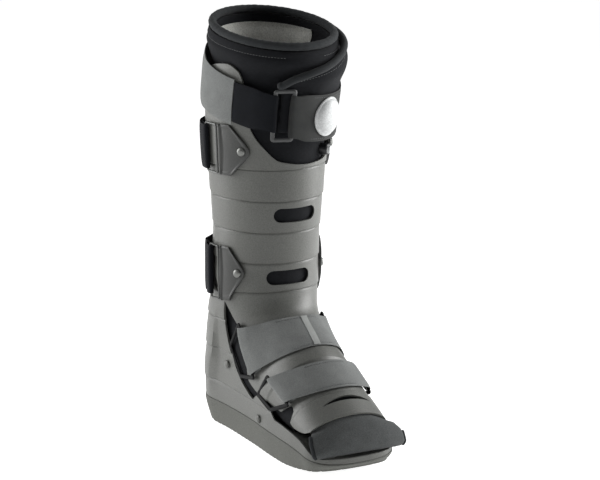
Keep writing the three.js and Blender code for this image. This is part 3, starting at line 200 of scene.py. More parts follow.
def straight_value(rows, at):
    """The value at a place between rows of (place, value), straight from one to the next."""
    rows = sorted(rows)
    if at <= rows[0][0]:
        return rows[0][1]
    for (x0, y0), (x1, y1) in zip(rows, rows[1:]):
        if at <= x1:
            return mix(y0, y1, (at - x0) / (x1 - x0)) if x1 > x0 else y1
    return rows[-1][1]


@lru_cache(maxsize=None)
def form_ring(station):
    """The ring at a station: x, y, z, crown z, lean, half, front and back, in millimetres."""
    along, height, lean, half, front, back, shift = (
        smooth_value(FORM, column, station) for column in range(1, 8))
    lean = math.radians(lean)
    front *= CALF_HALF_DEPTH
    crown_y, crown_z = -along * SOLE_LENGTH, height * BOOT_HEIGHT
    return (shift * CALF_HALF_WIDTH, crown_y + front * math.cos(lean), crown_z - front * math.sin(lean),
            crown_z, lean, half * CALF_HALF_WIDTH, front, back * CALF_HALF_DEPTH)


@lru_cache(maxsize=None)
def station_at(height):
    low, high = float(TOE_STATION), float(TOP_STATION)
    for _ in range(26):
        middle = (low + high) / 2
        if form_ring(middle)[2] > height:
            high = middle
        else:
            low = middle
    return round((low + high) / 2, 3)


def form_point(station, angle, lift):
    """A point on the form: the angle runs from the front towards +X, the lift is outwards."""
    x, y, z, _, lean, half, front, back = form_ring(round(station, 3))
    turn = math.radians(angle)
    ahead = math.cos(turn)
    out = ahead * (lift + (front if ahead >= 0 else back))
    return Vector((x + (half + lift) * math.sin(turn), y - out * math.cos(lean), z + out * math.sin(lean)))


def form_axes(station, angle, lift):
    """The form's directions round and outwards at a point."""
    across = form_point(station, angle + 0.5, lift) - form_point(station, angle - 0.5, lift)
    up = form_point(station + 0.5, angle, lift) - form_point(station - 0.5, angle, lift)
    return across.normalized(), across.cross(up).normalized()


def form_out(station, angle, lift):
    return form_axes(station, angle, lift)[1]


def form_frame(station, angle, lift):
    """A frame on the form: across, up and outwards from a point."""
    across, out = form_axes(station, angle, lift)
    turned = Matrix((across, out.cross(across).normalized(), out)).transposed().to_4x4()
    turned.translation = form_point(station, angle, lift)
    return turned


def parting_height(y):
    return SOLE_HEIGHT * smooth_value(PARTING, 1, -y / SOLE_LENGTH)


def rocker_height(y):
    flat_heel, heel_end = -FLAT_HEEL * SOLE_LENGTH, -HEEL_END * SOLE_LENGTH
    flat_ball, toe_end = -FLAT_BALL * SOLE_LENGTH, -TOE_END * SOLE_LENGTH
    if y > flat_heel:
        return HEEL_RISE * ((y - flat_heel) / (heel_end - flat_heel)) ** HEEL_CURVE
    if y < flat_ball:
        return TOE_RISE * ((flat_ball - y) / (flat_ball - toe_end)) ** TOE_CURVE
    return 0.0


def foot_half(y, offset):
    start, toe_end = -TOE_ROUND * SOLE_LENGTH, -TOE_END * SOLE_LENGTH - offset
    half = FOOT_HALF_WIDTH * smooth_value(FOOT, 1, -y / SOLE_LENGTH) + offset
    if y >= start:
        return half
    share = clamp((start - y) / (start - toe_end), 0.0, 1.0)
    return half * (1 - share ** TOE_SQUARENESS) ** (1 / TOE_SQUARENESS)


BACK_POINTS, FRONT_POINTS = 26, 44


@lru_cache(maxsize=None)
def side_outline(height, offset, back_points=BACK_POINTS, front_points=FRONT_POINTS):
    """The right half of the outline round the boot at a height, from the heel to the toe."""
    share = height / BOOT_HEIGHT
    on_calf = share >= HEEL[-1][0]
    ring = form_ring(max(CALF_STATION, station_at(round(height, 2))))
    middle = ring[1] if on_calf else smooth_value(HEEL, 1, share) * CALF_HALF_DEPTH
    half = (ring[5] if on_calf else smooth_value(HEEL, 2, share) * CALF_HALF_WIDTH) + offset
    back = (ring[7] if on_calf else smooth_value(HEEL, 3, share) * CALF_HALF_DEPTH) + offset
    calf = smooth_step(0.12, 0.32, share)
    front = mix(-TOE_END * SOLE_LENGTH - offset, middle - ring[6] - offset, calf)
    side = []
    for i in range(back_points + 1):
        turn = math.pi / 2 * i / back_points
        side.append((half * math.sin(turn), middle + back * math.cos(turn)))
    for i in range(1, front_points + 1):
        turn = math.pi / 2 * i / front_points
        y = middle + (front - middle) * math.sin(turn)
        foot = 0.0 if i == front_points else min(foot_half(y, offset), half + max(0.0, middle - y))
        side.append((mix(foot, half * math.cos(turn), calf), y))
    side[-1] = (0.0, side[-1][1])
    shift = ring[0] if on_calf else 0.0
    return shift, tuple(side)


def level_ring(height, offset, height_at, **steps):
    shift, side = side_outline(height, offset, **steps)
    right = [Vector((shift + x, y, height_at(y))) for x, y in side]
    left = [Vector((shift - x, y, height_at(y))) for x, y in side[-2:0:-1]]
    return right + left


def rear_offset(height, wall):
    return -(wall + SEAT_GAP) * smooth_step(0.30, 0.36, height / BOOT_HEIGHT)


def rear_side(y, height, wall):
    """Half width of the rear shell's outside at a place along the foot and a height."""
    height = round(height)
    _, side = side_outline(height, round(rear_offset(height, wall), 3))
    for (x0, y0), (x1, y1) in zip(side, side[1:]):
        if y1 <= y:
            return max(1.0, mix(x0, x1, (y - y0) / (y1 - y0)))
    return 1.0


# Mesh builders: points in millimetres, with the faces between them

def slab(outer, inner):
    """A slab between two open grids of points."""
    rows, columns = len(outer), len(outer[0])
    points = [p for row in outer for p in row] + [p for row in inner for p in row]
    base = rows * columns
    faces = []
    for i in range(rows - 1):
        for j in range(columns - 1):
            a, b, c, d = (i * columns + j, i * columns + j + 1, (i + 1) * columns + j + 1,
                          (i + 1) * columns + j)
            faces += [(a, b, c, d), (base + d, base + c, base + b, base + a)]
    rim = list(range(columns - 1)) + [i * columns + columns - 1 for i in range(rows - 1)]
    rim += [(rows - 1) * columns + j for j in range(columns - 1, 0, -1)]
    rim += [i * columns for i in range(rows - 1, 0, -1)]
    for near, after in zip(rim, rim[1:] + rim[:1]):
        faces.append((after, near, base + near, base + after))
    return points, faces


def ring_faces(count, around, closed=False, base=0):
    """The faces from each ring of points to the next, and from the last to the first if closed."""
    return [(base + i * around + j, base + i * around + (j + 1) % around,
             base + (i + 1) % count * around + (j + 1) % around, base + (i + 1) % count * around + j)
            for i in range(count if closed else count - 1) for j in range(around)]


def prism_faces(count):
    """Both ends and the sides of a prism with this many corners at an end."""
    ends = [tuple(range(count)), tuple(range(2 * count - 1, count - 1, -1))]
    return ends + [(i, (i + 1) % count, count + (i + 1) % count, count + i) for i in range(count)]


def hoop(rings):
    """Rings joined one to the next and back to the first."""
    return [p for ring in rings for p in ring], ring_faces(len(rings), len(rings[0]), closed=True)


def ladder(levels):
    """Level rings, each mirrored about its middle line, closed straight across at both ends."""
    around, count = len(levels[0]), len(levels)
    faces = ring_faces(count, around)
    for base in (0, (count - 1) * around):
        for j in range(around // 2):
            corners = (base + j, base + j + 1, base + around - j - 1, base + (around - j) % around)
            faces.append(tuple(dict.fromkeys(corners)))
    return [p for ring in levels for p in ring], faces


def circle_round(centre, across, normal, radius, sides):
    return [centre + across * (radius * math.cos(2 * math.pi * k / sides))
            + normal * (radius * math.sin(2 * math.pi * k / sides)) for k in range(sides)]


def tube(points, radius, sides=14, out=Vector((0, 0, 1))):
    """A round tube along a path, with rounded ends."""
    rings = []
    count = len(points)
    turned = out
    for i, centre in enumerate(points):
        along = (points[min(i + 1, count - 1)] - points[max(i - 1, 0)]).normalized()
        across = along.cross(turned).normalized()
        turned = across.cross(along).normalized()
        ends = ((0.9, 0.3), (0.55, 0.75)) if i in (0, count - 1) else ()
        sign = -1 if i == 0 else 1
        caps = [circle_round(centre + along * (sign * radius * b), across, turned, radius * a, sides)
                for a, b in ends]
        ring = circle_round(centre, across, turned, radius, sides)
        rings += caps[::-1] + [ring] if i == 0 else [ring] + caps
    last = (len(rings) - 1) * sides
    ends = [tuple(range(sides)), tuple(last + j for j in range(sides))]
    return [p for ring in rings for p in ring], ring_faces(len(rings), sides) + ends


def rounded_loop(corners, step=0.8, rounds=5):
    """A closed path through corners, resampled evenly and rounded at its corners."""
    path = []
    for a, b in zip(corners, corners[1:] + corners[:1]):
        parts = max(2, round((b - a).length / step))
        path += [a.lerp(b, k / parts) for k in range(parts)]
    for _ in range(rounds):
        path = [(path[i - 1] + path[i] * 2 + path[(i + 1) % len(path)]) / 4 for i in range(len(path))]
    return path


def loop_tube(path, out, radius, sides=12, flat=1.0):
    """A closed bar along a path, widened across it by the flat share."""
    rings = []
    for i, centre in enumerate(path):
        along = (path[(i + 1) % len(path)] - path[i - 1]).normalized()
        across = along.cross(out).normalized()
        normal = across.cross(along).normalized()
        rings.append(circle_round(centre, across * flat, normal, radius, sides))
    return hoop(rings)


def lathe(profile, segments, place):
    """A turned piece: place(x, y, height) puts each of its points."""
    points = []
    for radius, height in profile:
        for k in range(segments):
            turn = 2 * math.pi * k / segments
            points.append(place(radius * math.cos(turn), radius * math.sin(turn), height))
    last = (len(profile) - 1) * segments
    ends = [tuple(range(segments))[::-1], tuple(last + k for k in range(segments))]
    return points, ring_faces(len(profile), segments) + ends


def soft_path(points, degree, step=1.6):
    """A path of angle and lift, drawn smooth and sampled evenly."""
    flat = [Vector((angle * degree, lift)) for angle, lift in points]
    ends = [flat[0] * 2 - flat[1]] + flat + [flat[-1] * 2 - flat[-2]]
    path = []
    for p0, p1, p2, p3 in zip(ends, ends[1:], ends[2:], ends[3:]):
        t1 = max((p1 - p0).length, 1e-6) ** 0.5
        t2 = t1 + max((p2 - p1).length, 1e-6) ** 0.5
        t3 = t2 + max((p3 - p2).length, 1e-6) ** 0.5
        parts = max(1, math.ceil((p2 - p1).length / step))
        for k in range(parts):
            t = mix(t1, t2, k / parts)
            a1 = p0.lerp(p1, t / t1)
            a2 = p1.lerp(p2, (t - t1) / (t2 - t1))
            a3 = p2.lerp(p3, (t - t2) / (t3 - t2))
            path.append(a1.lerp(a2, t / t2).lerp(a2.lerp(a3, (t - t1) / (t3 - t1)), (t - t1) / (t2 - t1)))
    path.append(flat[-1])
    return [(p.x / degree, p.y) for p in path]


def round_bar(angle, lift, radius, degree, start, end, steps=10):
    return [(angle + radius * math.cos(math.radians(turn)) / degree,
             lift + radius * math.sin(math.radians(turn))) for turn in spread(steps, start, end)]


def band(path, width, middle_at, degree, cells=16, skew=0.0):
    """A strap along a path of angle and lift, with rolled selvedges, and its flat coordinates.

    The skew turns its lower edge further round at the ends, in degrees.
    """
    path = soft_path(path, degree)
    grids, flat = [], []
    for sign in (1, -1):
        grid, run = [], 0.0
        for i, (angle, lift) in enumerate(path):
            before, after = path[max(i - 1, 0)], path[min(i + 1, len(path) - 1)]
            along, rise = (after[0] - before[0]) * degree, after[1] - before[1]
            length = math.hypot(along, rise) or 1e-6
            wide = width(angle) if callable(width) else width
            row = []
            for share in spread(cells, -1, 1):
                thick = STRAP_THICKNESS / 2 * max(0.25, (1 - abs(share) ** 8)) * sign
                slant = math.copysign(skew, angle) * smooth_step(25, 62, abs(angle)) * share
                row.append(form_point(middle_at(angle) + share * wide / 2,
                                      angle - slant - thick * rise / length / degree,
                                      lift + thick * along / length))
                flat.append((run * MM, share * wide / 2 * MM))
            grid.append(row)
            run += length / 2
        grids.append(grid)
    return *slab(*grids), flat


# Objects

MERGE_DISTANCE = 0.00001


def apply_modifiers(obj):
    graph = bpy.context.evaluated_depsgraph_get()
    graph.update()
    made = bpy.data.meshes.new_from_object(obj.evaluated_get(graph))
    obj.modifiers.clear()
    obj.data = made


def new_object(name, points, faces, flat=None, scale=MM):
    """An object from points and faces. A strap keeps all its points and has flat cloth coordinates."""
    mesh = bpy.data.meshes.new(name)
    mesh.from_pydata([tuple(p * scale) for p in points], [], faces)
    obj = bpy.data.objects.new(name, mesh)
    bpy.context.scene.collection.objects.link(obj)
    if flat:
        layer = mesh.uv_layers.new(name="Flat")
        for loop in mesh.loops:
            layer.data[loop.index].uv = flat[loop.vertex_index]
    work = bmesh.new()
    work.from_mesh(mesh)
    if not flat:
        bmesh.ops.remove_doubles(work, verts=work.verts, dist=MERGE_DISTANCE)
    bmesh.ops.recalc_face_normals(work, faces=work.faces)
    work.to_mesh(mesh)
    work.free()
    return obj


def combine(obj, other, operation):
    """Cuts one closed mesh with another and removes the tool."""
    modifier = obj.modifiers.new("Combine", "BOOLEAN")
    modifier.operation = operation
    modifier.solver = "EXACT"
    modifier.object = other
    apply_modifiers(obj)
    bpy.data.objects.remove(other)
    if len(obj.data.polygons) == 0:
        raise RuntimeError(f"{obj.name}: nothing is left after a cut")


def seat(obj, surface, nodes=(), body="boot", sharp=35.0):
    """Gives a piece its material, its body and the solids it stands for."""
    obj.data.materials.clear()
    obj.data.materials.append(MATERIALS[surface])
    obj.data.shade_smooth()
    obj.data.set_sharp_from_angle(angle=math.radians(sharp))
    if nodes:
        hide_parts(*nodes)
    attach(obj, body)


# A stitch from end to end: place, thickness
STITCH = ((-0.5, 0.35), (-0.3, 0.9), (0.0, 1.0), (0.3, 0.9), (0.5, 0.35))
STITCH_SIDES = 6


def stitch_row(name, path, pitch, length=2.3, radius=0.28):
    """A row of thread stitches along a path of points, each with its outward direction."""
    points, faces = [], []
    travelled, due = 0.0, 0.0
    for (a, out), (b, _) in zip(path, path[1:]):
        step = (b - a).length
        while due <= travelled + step and step > 0:
            centre = a.lerp(b, (due - travelled) / step)
            along = (b - a).normalized()
            across = along.cross(out).normalized()
            base = len(points)
            for share, thick in STITCH:
                middle = centre + along * (share * length) + out * (radius * (thick - 0.75))
                points += circle_round(middle, across, out, radius * thick, STITCH_SIDES)
            faces += ring_faces(len(STITCH), STITCH_SIDES, base=base)
            for end in (base, len(points) - STITCH_SIDES):
                faces.append(tuple(end + j for j in range(STITCH_SIDES)))
            due += pitch
        travelled += step
    seat(new_object(name, points, faces), "grey_thread")


def puffed(obj, voxel, cap, frames=14):
    """Swells a padded piece with a short cloth simulation and keeps the result as its mesh."""
    remesh = obj.modifiers.new("Even mesh", "REMESH")
    remesh.mode = "VOXEL"
    remesh.voxel_size = voxel * MM
    apply_modifiers(obj)
    start = [vertex.co.copy() for vertex in obj.data.vertices]
    cloth = obj.modifiers.new("Swelling", "CLOTH")
    cloth.settings.quality = 5
    cloth.settings.use_pressure = True
    cloth.settings.uniform_pressure_force = 4.0
    cloth.settings.effector_weights.gravity = 0.0
    cloth.point_cache.frame_start = 1
    cloth.point_cache.frame_end = frames
    scene = bpy.context.scene
    for number in range(1, frames + 1):
        scene.frame_set(number)
    apply_modifiers(obj)
    scene.frame_set(1)
    for vertex, before in zip(obj.data.vertices, start):
        move = vertex.co - before
        if move.length > cap * MM:
            vertex.co = before + move.normalized() * (cap * MM)
    ease = obj.modifiers.new("Ease", "SMOOTH")
    ease.factor, ease.iterations = 0.5, 3
    subdivide = obj.modifiers.new("Finer", "SUBSURF")
    subdivide.levels = subdivide.render_levels = 1
    apply_modifiers(obj)


# Materials

def linear(code):
    """An sRGB hex colour as linear light."""
    parts = [int(code[i:i + 2], 16) / 255 for i in (1, 3, 5)]
    return tuple(p / 12.92 if p <= 0.04045 else ((p + 0.055) / 1.055) ** 2.4 for p in parts) + (1.0,)


def add_node(tree, kind, inputs=None, **settings):
    """A node with its settings; each input is a value or another node's output."""
    node = tree.nodes.new(kind)
    for name, value in settings.items():
        setattr(node, name, value)
    for key, value in (inputs or {}).items():
        if isinstance(value, bpy.types.NodeSocket):
            tree.links.new(value, node.inputs[key])
        else:
            node.inputs[key].default_value = value
    return node


def new_surface(name, dark, light, patch_mm, shader_values, speck_mm=0.8, speck=0.06):
    """A material whose colour drifts between two tones over patches, with fine specks over them."""
    material = bpy.data.materials.new(name)
    material.use_nodes = True
    tree = material.node_tree
    tree.nodes.clear()
    place = add_node(tree, "ShaderNodeTexCoord")
    patches = add_node(tree, "ShaderNodeTexNoise", {
        "Vector": place.outputs["Object"], "Scale": 1 / (patch_mm * MM), "Detail": 3.0})
    tone = add_node(tree, "ShaderNodeMix", {
        0: patches.outputs["Fac"], 6: linear(dark), 7: linear(light)}, data_type="RGBA")
    specks = add_node(tree, "ShaderNodeTexNoise", {
        "Vector": place.outputs["Object"], "Scale": 1 / (speck_mm * MM), "Detail": 4.0, "Roughness": 0.7})
    mottle = add_node(tree, "ShaderNodeMapRange", {
        "Value": specks.outputs["Fac"], "From Min": 0.3, "From Max": 0.7,
        "To Min": 1 - speck, "To Max": 1 + speck})
    tone = add_node(tree, "ShaderNodeMix", {
        0: 1.0, 6: tone.outputs[2], 7: mottle.outputs[0]}, data_type="RGBA", blend_type="MULTIPLY")
    shader = add_node(tree, "ShaderNodeBsdfPrincipled", {"Base Color": tone.outputs[2], **shader_values})
    add_node(tree, "ShaderNodeOutputMaterial", {"Surface": shader.outputs[0]})
    return material, tree, place, tone, shader


def grain(tree, place, size_mm, detail=4.0):
    """The height of a random grain of a real size."""
    return add_node(tree, "ShaderNodeTexNoise", {
        "Vector": place.outputs["Object"], "Scale": 1 / (size_mm * MM), "Detail": detail,
        "Roughness": 0.6}).outputs["Fac"]


def plain_weave(tree, place, pitch_mm, rib_mm):
    """The height of crossed threads on the flat cloth: warp along, weft across."""
    parts = add_node(tree, "ShaderNodeSeparateXYZ", {0: place.outputs["UV"]})
    waves = []
    for axis, pitch in ((0, pitch_mm), (1, rib_mm)):
        turn = add_node(tree, "ShaderNodeMath", {
            0: parts.outputs[axis], 1: 2 * math.pi / (pitch * MM)}, operation="MULTIPLY")
        waves.append(add_node(tree, "ShaderNodeMath", {0: turn.outputs[0]}, operation="SINE").outputs[0])
    crossed = add_node(tree, "ShaderNodeMath", {0: waves[0], 1: waves[1]}, operation="MULTIPLY")
    return add_node(tree, "ShaderNodeMath", {0: crossed.outputs[0], 1: 0.5, 2: 0.5},
                    operation="MULTIPLY_ADD").outputs[0]


def relief(tree, shader, heights, edge_mm=0.0):
    """Bumps of real depth, one on the other, over edges rounded by a radius."""
    normal = None
    if edge_mm:
        normal = add_node(tree, "ShaderNodeBevel", {"Radius": edge_mm * MM}, samples=4).outputs[0]
    for height, depth_mm in heights:
        bump = add_node(tree, "ShaderNodeBump", {"Height": height, "Distance": depth_mm * MM})
        if normal:
            tree.links.new(normal, bump.inputs["Normal"])
        normal = bump.outputs[0]
    tree.links.new(normal, shader.inputs["Normal"])


def moulded(name, dark, light, roughness, grain_mm, depth_mm, edge_mm=0.5, shine=0.4):
    """Injection-moulded plastic: a spark-eroded grain, faint flow patches and soft edges."""
    material, tree, place, _, shader = new_surface(name, dark, light, 60, {
        "Roughness": roughness, "Specular IOR Level": shine, "IOR": 1.5}, grain_mm * 1.6, 0.24)
    flow = grain(tree, place, 9, 2.0)
    relief(tree, shader, [(grain(tree, place, grain_mm), depth_mm), (flow, 0.04)], edge_mm)
    return material


def brushed_cloth(name, dark, light, grain_mm, depth_mm, sheen=0.35):
    """Knitted cloth brushed to a soft nap: short fibres scatter light at its edges."""
    material, tree, place, _, shader = new_surface(name, dark, light, 14, {
        "Roughness": 0.95, "IOR": 1.45, "Sheen Weight": sheen, "Sheen Roughness": 0.6,
        "Specular IOR Level": 0.12}, grain_mm * 1.4, 0.3)
    relief(tree, shader, [(grain(tree, place, grain_mm, 6.0), depth_mm), (grain(tree, place, 6, 2.0), 0.25)])
    return material


def webbing(name, dark, light, pitch_mm, rib_mm, depth_mm, roughness=0.85):
    """Woven strap: crossed threads catch the light row by row, painted into its colour as a highlight on each
    thread's crown and shade between threads, with a slightly fuzzy face.
    """
    material, tree, place, tone, shader = new_surface(name, dark, light, 10, {
        "Roughness": roughness, "IOR": 1.5, "Sheen Weight": 0.05, "Specular IOR Level": 0.15})
    threads = plain_weave(tree, place, pitch_mm, rib_mm)
    # Painted highlight and shade: the colour is lighter on each thread's crown and darker between the threads
    thread_highlight_and_shade = add_node(tree, "ShaderNodeMix", {
        0: threads, 6: (0.55, 0.55, 0.55, 1), 7: (1.2, 1.2, 1.2, 1)}, data_type="RGBA")
    woven = add_node(tree, "ShaderNodeMix", {
        0: 1.0, 6: tone.outputs[2], 7: thread_highlight_and_shade.outputs[2]}, data_type="RGBA", blend_type="MULTIPLY")
    tree.links.new(woven.outputs[2], shader.inputs["Base Color"])
    relief(tree, shader, [(threads, depth_mm), (grain(tree, place, 0.5), depth_mm * 0.5)])
    return material


def drawn_steel(name, dark, light, roughness):
    """Drawn steel: fine scratches blur its highlight."""
    material, tree, place, _, shader = new_surface(name, dark, light, 8, {
        "Metallic": 1.0, "Roughness": roughness})
    relief(tree, shader, [(grain(tree, place, 0.4), 0.01)], 0.2)
    return material


MATERIALS = {}


def make_materials():
    """Every material of the boot, by its key."""
    MATERIALS.update({
        # Warm grey polypropylene shells with a fine matt grain
        "shell_plastic": moulded("Grained polypropylene", "#545552", "#5e5f5b", 0.42, 0.8, 0.14, 0.6),
        # Slightly darker, duller rubber that is tacky to the eye
        "sole_rubber": moulded("Moulded rubber", "#50514d", "#5a5b56", 0.75, 0.9, 0.07, 0.5),
        # Dark foam-backed lining cloth with a short nap
        "liner_fabric": brushed_cloth("Foam-backed knit", "#141517", "#1c1d20", 0.7, 0.2, 0.02),
        # The bias binding round the cuff's edge, a stop lighter than the lining
        "binding_fabric": brushed_cloth("Bias binding", "#26282a", "#303233", 0.5, 0.15, 0.04),
        # The padded toe's knit is worn paler and duller than the lining
        "toe_fabric": brushed_cloth("Toe cover knit", "#404242", "#505252", 0.7, 0.25, 0.05),
        # Deep off-white fleece, whose nap hides its knit
        "pale_lining": brushed_cloth("Pale fleece", "#bdbdb7", "#d3d3cd", 1.0, 0.25, 0.2),
        # Brushed loop straps in mid grey
        "grey_webbing": brushed_cloth("Brushed loop strap", "#626463", "#737574", 0.55, 0.2, 0.06),
        # Black woven strap with a cool cast
        "hook_webbing": webbing("Black nylon webbing", "#090b10", "#11141a", 1.5, 1.1, 0.16),
        # Finer, closer cloth, so the panel looks flatter than the straps
        "panel_webbing": webbing("Dark grey panel cloth", "#2b2c2c", "#383938", 1.1, 1.0, 0.1, 0.75),
        # Moulded nylon: satin, with a grain too fine to show but for a broken highlight
        "buckle_nylon": moulded("Grey moulded nylon", "#3a3b3c", "#454646", 0.42, 0.8, 0.02, 0.4),
        "loop_nylon": moulded("Black moulded nylon", "#08090a", "#0e0f10", 0.6, 0.8, 0.02, 0.4, 0.12),
        "plate_nylon": moulded("Dark moulded nylon", "#2e2f2e", "#383937", 0.4, 0.8, 0.03, 0.5),
        # Plated steel dulled by handling, darker in the loops than on the rivets
        "steel_wire": drawn_steel("Plated steel wire", "#4c4d4c", "#5c5d5c", 0.4),
        "rivet_steel": drawn_steel("Burnished rivet steel", "#6c6d6b", "#80817e", 0.45),
        # Off-white silicone: even, with a soft highlight
        "pump_silicone": moulded("Off-white silicone", "#b9bbbb", "#c4c6c6", 0.45, 0.9, 0.02, 0.8),
        # Slick black plastic with a sharper highlight
        "valve_black": moulded("Black acetal", "#141517", "#1c1d1f", 0.35, 0.8, 0.02, 0.4),
        # Pale reflective tape and sewing thread
        "pale_tape": webbing("Pale woven tape", "#8e908e", "#a6a8a6", 0.9, 0.8, 0.08),
        "grey_thread": webbing("Grey sewing thread", "#5d5f5f", "#727474", 0.5, 0.5, 0.05),
    })


# Settings

class BootShellSettings(bpy.types.PropertyGroup):
    """Sizes of the moulded shells."""

    wall: bpy.props.FloatProperty(
        name="Wall", description="Thickness of the shells", default=0.0026, unit="LENGTH")
    band_step: bpy.props.FloatProperty(
        name="Band step", description="Depth of the ledges between the bands", default=0.001, unit="LENGTH")


class BootClothSettings(bpy.types.PropertyGroup):
    """Sizes of the padding and its stitching."""

    swell: bpy.props.FloatProperty(
        name="Swell", description="Most that padding may swell", default=0.0012, unit="LENGTH")
    stitch: bpy.props.FloatProperty(
        name="Stitch pitch", description="Distance from stitch to stitch", default=0.0034, unit="LENGTH")


class BootStageSettings(bpy.types.PropertyGroup):
    """The studio round the boot."""

    azimuth: bpy.props.FloatProperty(
        name="Azimuth", description="Camera turn round the boot", default=math.radians(-28),
        subtype="ANGLE")
    elevation: bpy.props.FloatProperty(
        name="Elevation", description="Camera angle above level", default=math.radians(13),
        subtype="ANGLE")
    distance: bpy.props.FloatProperty(
        name="Distance", description="From the camera to the boot", default=2.444, unit="LENGTH")
    side_light: bpy.props.FloatProperty(
        name="Side light", description="Power of each side light", default=50.0, unit="POWER")


# Operators

def front_step(station, step):
    """How far the front shell's face lies in from the form at a station."""
    rows = list(FRONT_STEPS)
    for share in BANDS:
        place = station_at(share * BOOT_HEIGHT)
        rows += [(place + above, depth) for above, depth in LEDGE]
    return step * straight_value(rows, station)


def ear_height(angle):
    return BOOT_HEIGHT * smooth_value(EARS, 1, angle - SCALLOP_TURN)


def front_grid(lift, step):
    shares = spread(150, -1, 1)
    top = BANDS[0] * BOOT_HEIGHT + 1
    grid = []
    for down in spread(20, 0, 1)[:-1]:
        grid.append([form_point(station_at(round(mix(ear_height(s * FRONT_REACH), top, down), 2)),
                                s * FRONT_REACH, lift) for s in shares])
    places = {round(station_at(share * BOOT_HEIGHT) + above, 2) for share in BANDS for above, _ in LEDGE}
    places |= {*TOE_BAND, *range(TOE_STATION, BAND_TOP_STATION, 4)}
    first = station_at(round(BANDS[0] * BOOT_HEIGHT, 2))
    for station in sorted((p for p in places if p <= first + STEP_HALF), reverse=True):
        reach = smooth_value(WRAP, 1, station)
        drop = front_step(station, step)
        grid.append([form_point(station, s * reach, lift - drop) for s in shares])
    return grid


def rear_step(height, step):
    """How far the rear shell's face lies in from its outline at a height."""
    rows = [(0.0, 0.0), (SOLE_HEIGHT, 0.0), (0.74 * BOOT_HEIGHT, 0.3), (BOOT_HEIGHT, 0.3)]
    for share in REAR_BANDS:
        rows += [(share * BOOT_HEIGHT + above, depth) for above, depth in LEDGE]
    return step * straight_value(rows, height)


def rear_levels(inset, step, bottom, wall):
    """Level rings of the rear shell from the sole up, past its top edge."""
    heights = set(spread(60, SOLE_HEIGHT, REAR_TOP * BOOT_HEIGHT + 12))
    if step:
        heights = {h for h in heights if all(abs(h - s * BOOT_HEIGHT) > LEDGE_REACH for s in REAR_BANDS)}
        heights |= {s * BOOT_HEIGHT + above for s in REAR_BANDS for above, _ in LEDGE}
    levels = []
    for height in sorted(heights):
        blend = 1 - smooth_step(SOLE_HEIGHT, SOLE_HEIGHT * 2, height)
        offset = round(rear_offset(height, wall) - inset - rear_step(height, step), 3)

        def at(y, height=height, blend=blend):
            return height + bottom + blend * (parting_height(y) - SOLE_HEIGHT)
        levels.append(level_ring(round(height, 3), offset, at))
    return levels


def side_prism(name, profile, half_width):
    """A side view's outline drawn out across the boot."""
    points = [Vector((x, y, z)) for x in (-half_width, half_width) for y, z in profile]
    return new_object(name, points, prism_faces(len(profile)))


def rear_profile(margin, top):
    """The rear shell's outline from the side, grown by a margin."""
    edge = [(-a * SOLE_LENGTH - margin, h * BOOT_HEIGHT + margin) for a, h in REAR_EDGE]
    rounded = [edge[0], edge[1]]
    for at in spread(90, REAR_EDGE[1][0], REAR_EDGE[-1][0])[1:]:
        height = straight_value(REAR_EDGE[1:], at)
        rounded.append((-at * SOLE_LENGTH - margin, height * BOOT_HEIGHT + margin))
    for _ in range(2):
        rounded[2:-1] = [(p[0], (a[1] + 2 * p[1] + b[1]) / 4)
                         for a, p, b in zip(rounded[1:], rounded[2:-1], rounded[3:])]
    rounded[0] = (rounded[0][0], top)
    ahead, behind = -SOLE_LENGTH, SOLE_LENGTH / 2
    return [(behind, top), *rounded, (ahead, rounded[-1][1]), (ahead, -SOLE_HEIGHT), (behind, -SOLE_HEIGHT)]


def slot_tool(name, station, angle, length, height, crescent=False):
    """A closed prism that points out of the form, with round ends or as a crescent."""
    outline = []
    if crescent:
        for t in spread(24, 0, 1):
            outline.append((mix(-length / 2, length / 2, t), height * 0.7 * t * (1 - t)))
        for t in spread(24, 1, 0)[1:-1]:
            outline.append((mix(-length / 2, length / 2, t), height * 4 * t * (1 - t)))
    else:
        half = length / 2 - height / 2
        for centre, start in ((half, -90), (-half, 90)):
            outline += round_bar(centre, 0, height / 2, 1, start, start + 180, 16)
    place = form_frame(station, angle, 0)
    points = [place @ Vector((x, y, z)) for z in (-16, 12) for x, y in outline]
    return new_object(name, points, prism_faces(len(outline)))


class BOOT_OT_shells(bpy.types.Operator):
    """Builds the rear shell and the front shell with their bands and vents"""

    bl_idname = "boot.shells"
    bl_label = "Shells"

    def execute(self, context):
        wall = context.scene.boot_shell.wall / MM
        step = context.scene.boot_shell.band_step / MM
        rear = new_object("rear_moulding", *ladder(rear_levels(0, step, SEAT_GAP, wall)))
        hollow = new_object("hollow", *ladder(rear_levels(wall, 0, SEAT_GAP + FOOTBED_WALL, wall)))
        combine(rear, hollow, "DIFFERENCE")
        combine(rear, side_prism("side", rear_profile(0, REAR_TOP * BOOT_HEIGHT), SOLE_LENGTH), "INTERSECT")
        seat(rear, "shell_plastic", ("rear_shell",))
        front = new_object("front_moulding", *slab(front_grid(0, step), front_grid(-wall, 0)))
        for height, angle in VENTS:
            vent = slot_tool("vent", station_at(height * BOOT_HEIGHT), angle, VENT_LENGTH, VENT_HEIGHT)
            combine(front, vent, "DIFFERENCE")
        combine(front, slot_tool("crescent", CRESCENT_STATION, CRESCENT_ANGLE, CRESCENT_LENGTH,
                                 CRESCENT_HEIGHT, True), "DIFFERENCE")
        walls = side_prism("walls", rear_profile(SEAT_GAP, 0.3 * BOOT_HEIGHT), SOLE_LENGTH)
        inside = ladder(rear_levels(wall + SEAT_GAP, 0, 2 * SEAT_GAP + FOOTBED_WALL, wall))
        combine(walls, new_object("inside", *inside), "DIFFERENCE")
        combine(front, walls, "DIFFERENCE")
        seat(front, "shell_plastic", ("front_shell",))
        return {"FINISHED"}


TREAD_BACK, TREAD_FRONT = 0.27, 0.69


